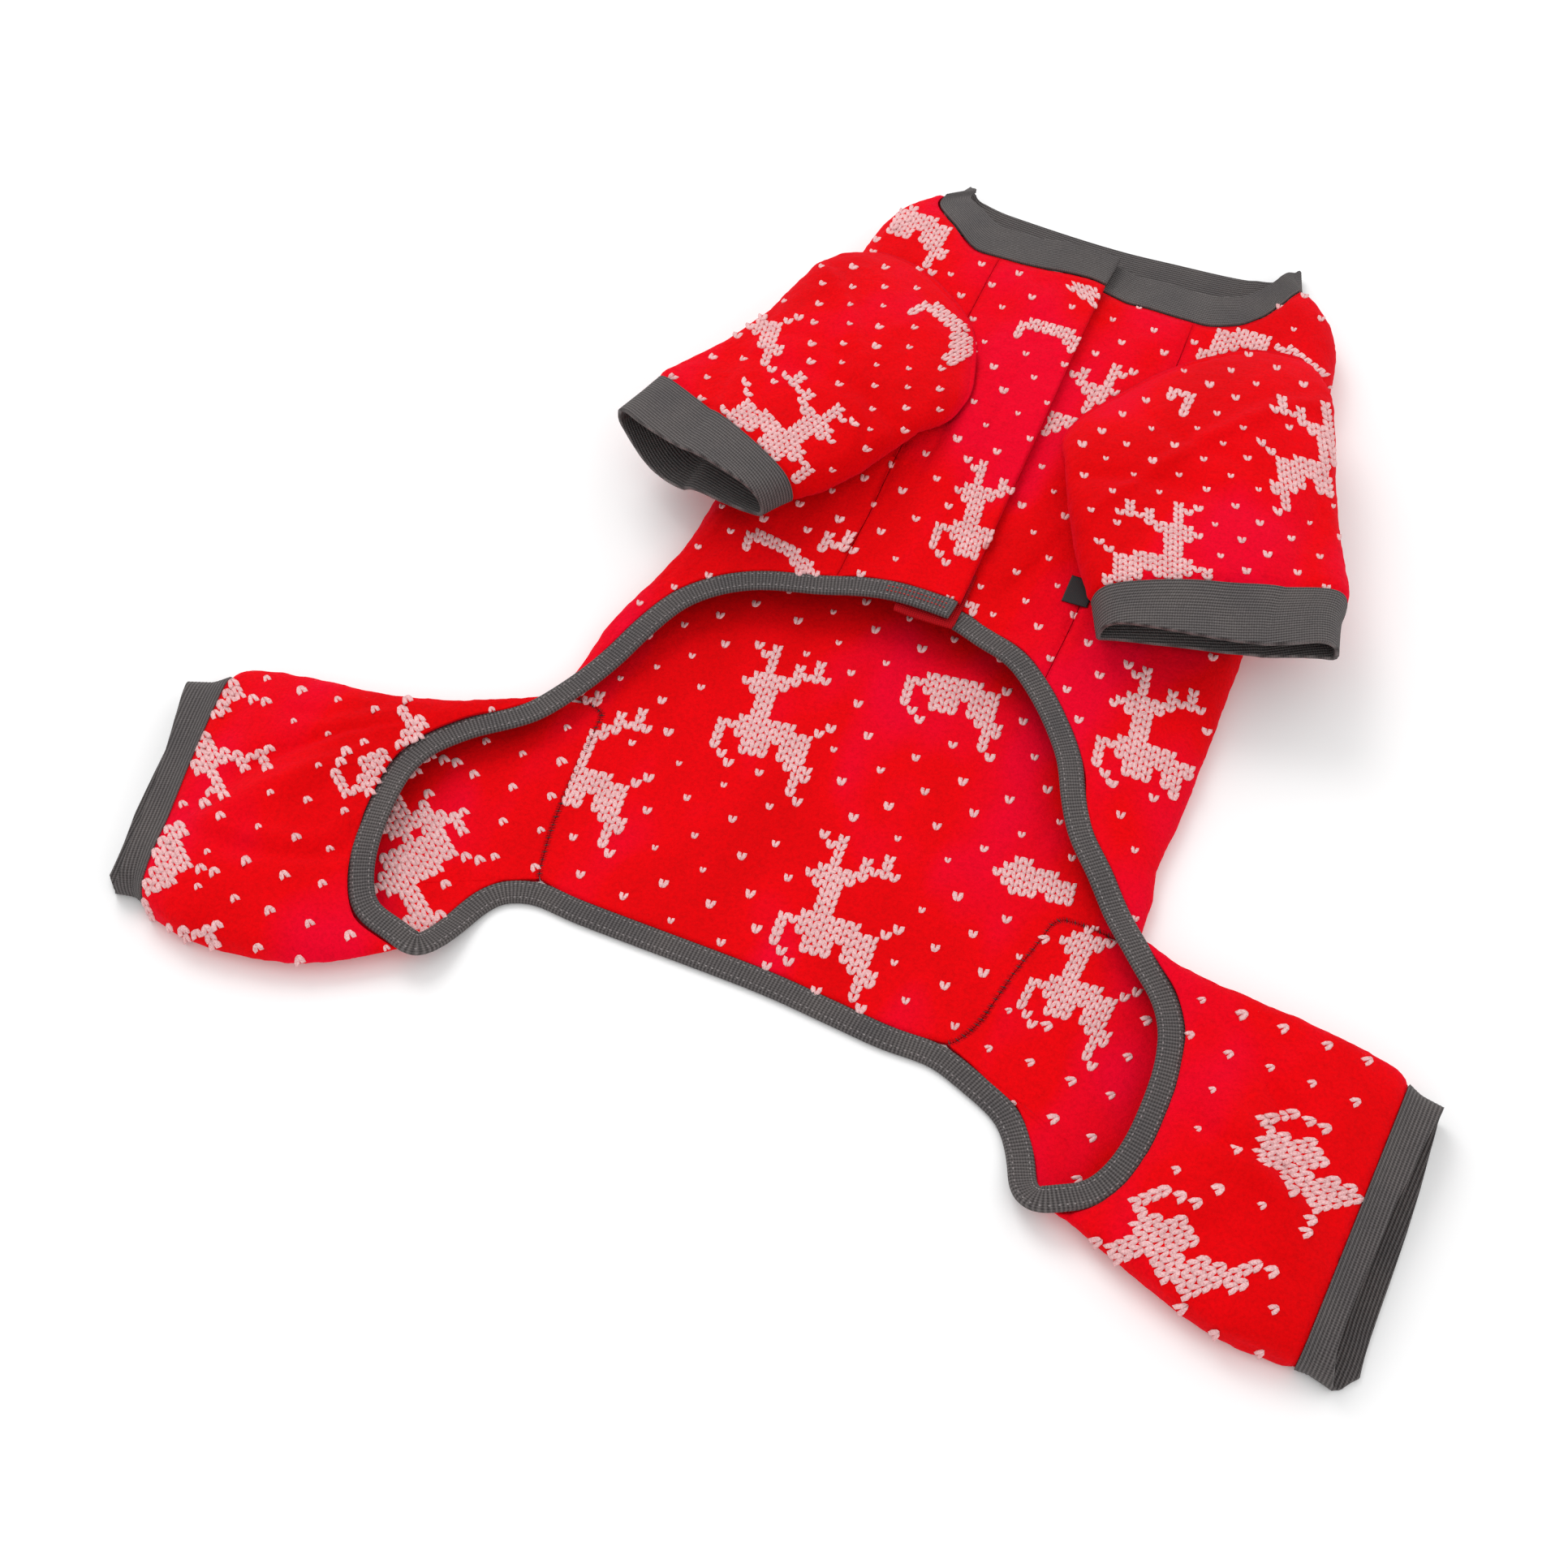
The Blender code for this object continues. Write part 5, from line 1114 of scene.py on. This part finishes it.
def build_pieces():
    cloths = {}
    around_gap = SEAM_GAP / 2 / (BODY_WIDTH * 2)
    along_gap = SEAM_GAP / BODY_LENGTH
    mids = (0.1, 0.5, 0.9)

    def panel(name, places, side, top, down, seams):
        def surface(a, t):
            return torso(a, t, side)
        cell = BACK_CELL if side == 0 else CELL
        u = fine(places, surface, cell, mids)
        v = fine_along((along_gap, 1 - along_gap), surface, cell, (0.30, 0.75))
        cloths[name] = Cloth(name, surface, u, v, FLEECE, LOOKS["red_fleece"], top=top, down=down,
                             seams=seams)

    def band(name, surface, u, v, **more):
        cloths[name] = Cloth(name, surface, u, v, RIB, LOOKS["grey_rib"], seams=(0, 0, 0, 0), pile=0.0,
                             **more)

    back_places = joined(
        np.linspace(0.5 - CHEST_SEAM + around_gap, 0.50, 3), [cut[0] for cut in SEAM_RIGHT[::-1]],
        np.linspace(CORNER_RIGHT, CORNER_LEFT, 3), [cut[0] for cut in SEAM_LEFT],
        np.linspace(1.0, 1 + CHEST_SEAM - around_gap, 3))
    panel("back_panel", back_places, 0, 0.75, True, (1, 1, 1, 0))
    panel("left_chest_panel", (CHEST_SEAM + around_gap, PLACKET_PLACE), -1, 0.25, False, (1, 0, 1, 0))
    panel("right_chest_panel", (UNDER_PLACE, 0.5 - CHEST_SEAM - around_gap), 1, 0.28, False, (0, 1, 1, 0))

    collar_places = np.concatenate([np.linspace(UNDER_PLACE, 0.5, 4)[:-1], np.linspace(0.5, 1.0, 6)[:-1],
                                    np.linspace(1.0, 1 + PLACKET_PLACE, 5)])
    u = fine(collar_places, collar, RIB_CELL, (0.1, 0.9))
    v = fine_along((0.0, 1.0), collar, BAND_PITCH / 4, (0.25, 0.75))
    band("collar", collar, u, v, top=0.75, down=True)

    seam_share = SEAM_GAP / LEG_LENGTH / 2
    for side, cuts in (("left", SEAM_LEFT), ("right", SEAM_RIGHT)):
        def surface(b, t, side=side):
            return leg(side, b, t)
        ring = joined(np.linspace(0.0, 0.56, 8), (0.56, 0.608), (0.608, LEG_SEAM),
                      np.linspace(LEG_SEAM, 1.0, len(cuts)))
        name = side + "_hind_leg"
        u = fine(ring, surface, CELL, mids)[:-1]
        v = fine_along((0.0, 1 - seam_share), surface, CELL, (0.1, 0.4))
        cloths[name] = Cloth(name, surface, u, v, FLEECE, LOOKS["red_fleece"], ring=True,
                             seams=(0, 0, 0, 1))
        name = side + "_leg_cuff"
        u = fine(ring, surface, RIB_CELL, (1.0,))[:-1]
        v = fine_along((1 + seam_share, 1 + LEG_CUFF_WIDTH / LEG_LENGTH), surface, BAND_PITCH / 4)
        band(name, surface, u, v, ring=True)

    seam_share = SEAM_GAP / SLEEVE_LENGTH / 2
    for side in ("left", "right"):
        def surface(b, t, side=side):
            return sleeve(side, b, t)
        ring = np.linspace(0.0, 1.0, 9)
        name = side + "_sleeve"
        u = fine(ring, surface, CELL, mids)[:-1]
        v = fine_along((0.0, 0.12, 1 - seam_share), surface, CELL, (0.1, 0.4))
        cloths[name] = Cloth(name, surface, u, v, FLEECE, LOOKS["red_fleece"], ring=True,
                             seams=(0, 0, 1, 1), root=True)
        name = side + "_sleeve_cuff"
        u = fine(ring, surface, RIB_CELL, (1.1,))[:-1]
        v = fine_along((1 + seam_share, 1 + SLEEVE_CUFF_WIDTH / SLEEVE_LENGTH), surface, BAND_PITCH / 4)
        band(name, surface, u, v, ring=True)
    return cloths


cloths = build_pieces()


def small_plates():
    """The closure tab, which lies between the placket's layers, and the bare label on the chest."""
    hem = float(body_ends(PLACKET_PLACE)[1])
    low = hem - BINDING_WIDTH - TAB_SHOWN
    right = PLACKET_EDGE + TAB_PAST

    def tab(u, v):
        x = right - TAB_WIDTH * (1 - u)
        y = low + TAB_LENGTH * v
        inner = np.maximum(y, hem)
        z = (height_of(x, inner, -1) + height_of(x, inner, 1)) / 2
        corner = 1 - 0.03 * np.exp(-(v / 0.05) ** 2)
        x = right - TAB_WIDTH / 2 + (x - right + TAB_WIDTH / 2) * corner
        return np.stack(np.broadcast_arrays(x, y, z), axis=-1)

    across, along = LABEL_PLACE[0] * BODY_WIDTH, LABEL_PLACE[1] * BODY_LENGTH
    over = FLEECE / 2 + LABEL_THICK / 2 + 1.3 * SEAM_GAP

    def label(u, v):
        x, y = across + LABEL_WIDTH * u, along + LABEL_LENGTH * v
        return np.stack(np.broadcast_arrays(x, y, height_of(x, y, 1) + over), axis=-1)

    for name, surface, rows, columns, thick, look in (
            ("closure_tab", tab, 40, 44, TAB_THICK, "red_closure"),
            ("side_label", label, 18, 22, LABEL_THICK, "dark_label")):
        cloths[name] = Cloth(name, surface, np.linspace(0, 1, rows), np.linspace(0, 1, columns), thick,
                             LOOKS[look], top=0.5, seams=(0, 0, 0, 0), pile=0.0)


small_plates()


def binding_frame(path):
    run = np.gradient(path, axis=0)
    run /= np.linalg.norm(run, axis=1, keepdims=True)
    wide = np.stack([-run[:, 1], run[:, 0], 0 * run[:, 0]], axis=-1)
    wide /= np.linalg.norm(wide, axis=1, keepdims=True)
    return run, wide, np.cross(run, wide)


def make_binding(name, sides):
    path = ripple(even(even(binding_path(), 500), 1200, soften=12) + SHIFT)
    count = int(line_lengths(path)[-1] / (RIB_PITCH / 4))
    path = even(path, count)
    run, wide, thin = binding_frame(path)
    angle = 2 * math.pi * (np.arange(sides) + 0.5) / sides
    c, s = np.cos(angle), np.sin(angle)
    length = line_lengths(path)
    ribs = RIB_HIGH * np.cos(2 * math.pi * length / RIB_PITCH)
    ends = 1 - 0.30 * np.exp(-(np.minimum(length, length[-1] - length) / 0.0012) ** 2)
    across = (np.sign(c) * np.abs(c) ** 0.5)[None, :] * BINDING_SHOWN / 2 * (1 + 0 * length[:, None])
    up = (np.sign(s) * np.abs(s) ** 0.8)[None, :] * (BINDING_THICK / 2 * ends + ribs)[:, None]
    dents = 0.00035 * np.exp(-((np.abs(across) - BINDING_SHOWN * 0.30) / 0.0006) ** 2) * np.sign(up)
    points = path[:, None] + wide[:, None] * across[..., None] + thin[:, None] * (up - dents)[..., None]
    uv = np.stack(np.broadcast_arrays(length[:, None], across), axis=-1)
    k = np.arange(count - 1)[:, None]
    s = np.arange(sides)[None, :]
    e = (s + 1) % sides
    faces = np.stack([k * sides + s, k * sides + e, (k + 1) * sides + e, (k + 1) * sides + s], axis=-1)
    faces = faces.reshape(-1, 4)[:, ::-1].tolist()
    faces.append(list(range(sides)))
    faces.append(list(range(count * sides - 1, (count - 1) * sides - 1, -1)))
    points = points.reshape(-1, 3)
    points[:, 2] = np.maximum(points[:, 2], 0.0)
    return make_mesh(name, points, faces, LOOKS["grey_rib"], uv.reshape(-1, 2)), path


binding_piece, binding_line = make_binding("opening_binding", 12)

# Camera, as in the photograph
LENS = 48.45
CAMERA = Vector((0.1962, -0.4352, 0.8055))
AIM = Vector((-0.02905, 0.0980, 0.0))
camera_data = bpy.data.cameras.new("camera")
camera_data.lens = LENS
camera_data.sensor_width = 36
camera = bpy.data.objects.new("camera", camera_data)
bpy.context.scene.collection.objects.link(camera)
camera.location = CAMERA + Vector(SHIFT)
camera.rotation_euler = (AIM - CAMERA).to_track_quat("-Z", "Y").to_euler()
bpy.context.scene.camera = camera


class Finder:
    """Finds where the line from a fixed point above through a place in the plan first meets the cloth."""

    def __init__(self):
        self.eye = np.array(CAMERA) + SHIFT
        points, faces, self.owner, self.names = [], [], [], list(cloths)
        start = 0
        for k, name in enumerate(self.names):
            points.append(cloths[name].both)
            own = [[i + start for i in face] for face in cloths[name].faces]
            faces += own
            self.owner += [k] * len(own)
            start += len(cloths[name].both)
        self.tree = BVHTree.FromPolygons(np.concatenate(points).tolist(), faces)

    def hit(self, plan, height):
        target = to_world(plan, height)
        way = Vector(target - self.eye).normalized()
        place, normal, index, _ = self.tree.ray_cast(Vector(self.eye), way)
        if place is None:
            return None
        if normal.dot(way) > 0:
            normal = -normal
        return np.array(place), np.array(normal), self.names[self.owner[index]], np.array(way)

    def on_plane(self, plan, height, place, normal):
        """Where the line through the plan's place meets the plane that touches the cloth at a point."""
        way = to_world(plan, height) - self.eye
        return self.eye + way * float((place - self.eye) @ normal / (way @ normal))


finder = Finder()

# Outline of one stroke of a knitted V, on the right of its middle: across (of a stitch), down (of a row)
STROKE = ((0.56, -0.64), (0.12, -0.54), (-0.05, 0.22), (0.01, 0.64), (0.34, 0.48), (0.58, -0.12))
STROKE_SUNK = 0.00035        # its foot is this far in the pile
STROKE_HIGH = 0.00042        # and its rounded top this far out of it


class Stitches:
    """Gathers small yarn shapes for each piece of cloth, and makes one mesh of each gathering."""

    def __init__(self):
        self.points, self.faces = {}, {}

    def add(self, key, points, faces):
        start = sum(len(block) for block in self.points.setdefault(key, []))
        self.points[key].append(points)
        self.faces.setdefault(key, []).extend([[i + start for i in face] for face in faces])

    def vee(self, key, place, normal, across, down, size, seed):
        """A knitted V on the cloth, a little uneven like the real one."""
        shape = np.array(STROKE)
        count = len(shape)
        ring = list(range(count))
        walls = [[i, (i + 1) % count, count + (i + 1) % count, count + i] for i in ring]
        for side in (1, -1):
            wobble = 0.07 * (hashed(seed, side, np.arange(float(count))) - 0.5)
            outline = (shape + wobble[:, None]) * size
            top = outline.mean(axis=0) + (outline - outline.mean(axis=0)) * 0.84
            plan = np.concatenate([outline, top])
            up = np.repeat([-STROKE_SUNK, STROKE_HIGH * (0.6 + 0.4 * size)], count)
            points = place + plan[:, :1] * side * across + plan[:, 1:] * down + up[:, None] * normal
            faces = walls + [[count + i for i in ring], ring[::-1]]
            if (side > 0) == (np.cross(across, down) @ normal > 0):
                faces = [face[::-1] for face in faces]
            self.add(key, points, faces)

    def bead(self, key, start, end, normal, half, high):
        """A short length of thread from one point to another, half sunk in the cloth."""
        run = end - start
        side = np.cross(normal, run / max(np.linalg.norm(run), 1e-9))
        middle = (start + end) / 2
        points = np.array([start - normal * high * 0.4, middle + side * half, middle - side * half,
                           end - normal * high * 0.4, middle + normal * high, middle - normal * high])
        self.add(key, points, [(0, 2, 4), (0, 4, 1), (3, 1, 4), (3, 4, 2),
                               (0, 1, 5), (0, 5, 2), (3, 5, 1), (3, 2, 5)])

    def make(self, key, name, material_made):
        points = np.concatenate(self.points[key])
        points[:, 2] = np.maximum(points[:, 2], 0.0)
        return make_mesh(name, points, self.faces[key], material_made)


stitches = Stitches()


def in_region(region, found):
    return found is not None and found[2] in REGIONS[region] and not (
        "back_panel" in REGIONS[region] and (found[0][2] < INSIDE_TOP) != (region == "inside"))


def put_vee(region, plan, height, across, down, size, seed):
    found = finder.hit(plan, height)
    if not in_region(region, found) or -(found[1] @ found[3]) < LEAST_FACING:
        return False
    place, normal, name, _ = found
    way_across = finder.on_plane(plan + across, height, place, normal) - place
    way_down = finder.on_plane(plan + down, height, place, normal) - place
    for way in (way_across, way_down):
        way *= min(1.0, LONGEST_STEP / np.linalg.norm(way))
    stitches.vee(name, place, normal, way_across, way_down, size, seed)
    return True


def knit():
    """Places the figures, and then the dots that no figure covers."""
    covered = {name: [] for name in REGIONS}
    count = 0
    for region, figure, faces_way, height, middle, way, (top, bottom, first, last) in FIGURES:
        across, down = np.array(way, dtype=float)
        for row, start, end in figure:
            for place in range(start, end + 1):
                if not (top <= row <= bottom and first <= place <= last):
                    continue
                plan = np.array(middle) + across * (place + 0.5) * faces_way + down * (row + 0.5)
                if put_vee(region, plan, height, across, down, 1.0, count):
                    covered[region.split("_")[0] if region.startswith("chest") else region].append(plan)
                    count += 1
    for region, height, start, step, other, way in DOTS:
        across, down = np.array(way)
        taken = np.array(covered[region] or [(1e6, 1e6)])
        for i in range(-40, 41):
            for j in range(-40, 41):
                plan = np.array(start) + i * np.array(step) + j * np.array(other)
                if np.abs(plan).max() > PLAN_REACH or np.linalg.norm(taken - plan, axis=1).min() < DOT_CLEAR:
                    continue
                plan = plan + (np.array([hashed(i, j, 1.0), hashed(i, j, 2.0)]) - 0.5) * DOT_STRAY
                size = 0.56 + 0.40 * hashed(i, j, 3.0)
                count += put_vee(region, plan, height, across, down, size, i * 97 + j)


knit()


def seam_stitches():
    """Thread along the binding, its squared end and the inner seams."""
    run, wide, thin = binding_frame(binding_line)
    length = line_lengths(binding_line)
    # key, from, to, pitch, off the middle (of BINDING_SHOWN), sunk, half a stitch's length and width
    for key, start, end, pitch, off, sunk, half, fat in (
            ("binding", 0.002, length[-1] - 0.002, 0.0031, 0.30, 0.0002, 0.0010, 0.00042),
            ("tack", 0.004, 0.034, 0.0021, 0.12, 0.0, 0.0009, 0.00036)):
        for side in (-1, 1):
            for at in np.arange(start, end, pitch):
                k = int(np.searchsorted(length, at))
                place = (binding_line[k] + wide[k] * side * BINDING_SHOWN * off
                         + thin[k] * (BINDING_THICK / 2 - sunk))
                stitches.bead(key, place - run[k] * half, place + run[k] * half, thin[k], fat, fat)
    for cuts, towards in ((SEAM_LEFT, 1.0), (SEAM_RIGHT, -1.0)):
        places = np.array([cut[0] for cut in cuts])
        if places[0] > places[-1]:
            places = places[::-1]
        places = np.interp(np.linspace(0, len(places) - 1, 400), np.arange(len(places)), places)
        line = body(places, body_ends(places)[1]) + SHIFT
        line[:, 2] += FLEECE / 2 + 0.0002
        steps = line_lengths(line)
        places_along = np.arange(0.001, steps[-1], 0.0013)
        for n, at in enumerate(places_along):
            k = min(int(np.searchsorted(steps, at)), len(line) - 2)
            if line[k, 2] > 0.009:
                continue
            way = line[k + 1] - line[k]
            way /= np.linalg.norm(way)
            over = np.array([-way[1], way[0], 0.0])
            a = line[k] + over * 0.0019 - way * 0.0005
            b = line[k] - over * 0.0019 + way * 0.0005
            key = "overlock" if n % 3 == 1 else "overlock_red"
            stitches.bead(key, a, b, np.array([0.0, 0.0, 1.0]), 0.00032, 0.00050)


seam_stitches()
knitted = {}
for name in list(stitches.points):
    if name in cloths:
        knitted[name] = stitches.make(name, "knit_" + name, LOOKS["pale_knit"])
THREADS = (("binding", "binding_stitching", "grey_thread"), ("tack", "binding_tack", "red_thread"),
           ("overlock", "seam_overlock", "dark_thread"), ("overlock_red", "seam_overlock_red", "deep_thread"))
threads = {}
for key, name, yarn in THREADS:
    threads[key] = stitches.make(key, name, LOOKS[yarn])

for name, cloth in cloths.items():
    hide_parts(name)
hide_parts("opening_binding")

for name, cloth in cloths.items():
    width, length, area = cloth.flat_size()
    with_it = [knitted[name]] if name in knitted else []
    if name == "back_panel":
        with_it += [threads["overlock"], threads["overlock_red"]]
length = float(line_lengths(binding_line)[-1])

floor_mesh = bpy.data.meshes.new("floor")
floor_mesh.from_pydata([(-6, -6, 0), (6, -6, 0), (6, 6, 0), (-6, 6, 0)], [], [(0, 1, 2, 3)])
floor = bpy.data.objects.new("floor", floor_mesh)
bpy.context.scene.collection.objects.link(floor)
floor.location.z = -0.0004
floor_look = bpy.data.materials.new("floor")
floor_look.use_nodes = True
floor_shader = floor_look.node_tree.nodes["Principled BSDF"]
floor_shader.inputs["Base Color"].default_value = (0.96, 0.96, 0.96, 1)
floor_shader.inputs["Roughness"].default_value = 0.9
floor_shader.inputs["Specular IOR Level"].default_value = 0.1
floor_mesh.materials.append(floor_look)


def area_light(name, place, aim, size, power):
    data = bpy.data.lights.new(name, "AREA")
    data.shape = "SQUARE"
    data.size = size
    data.energy = power
    light = bpy.data.objects.new(name, data)
    bpy.context.scene.collection.objects.link(light)
    light.location = place
    light.rotation_euler = (Vector(aim) - Vector(place)).to_track_quat("-Z", "Y").to_euler()


area_light("key", (-1.2, 0.9, 1.9), (0, 0, 0), 1.2, 17)
area_light("fill", (1.8, -1.0, 1.8), (0, 0, 0), 2.0, 7)
world = bpy.data.worlds.new("world")
bpy.context.scene.world = world
world.use_nodes = True
world.node_tree.nodes["Background"].inputs["Color"].default_value = (1, 1, 1, 1)
world.node_tree.nodes["Background"].inputs["Strength"].default_value = 0.90
bpy.context.scene.view_settings.view_transform = "Standard"
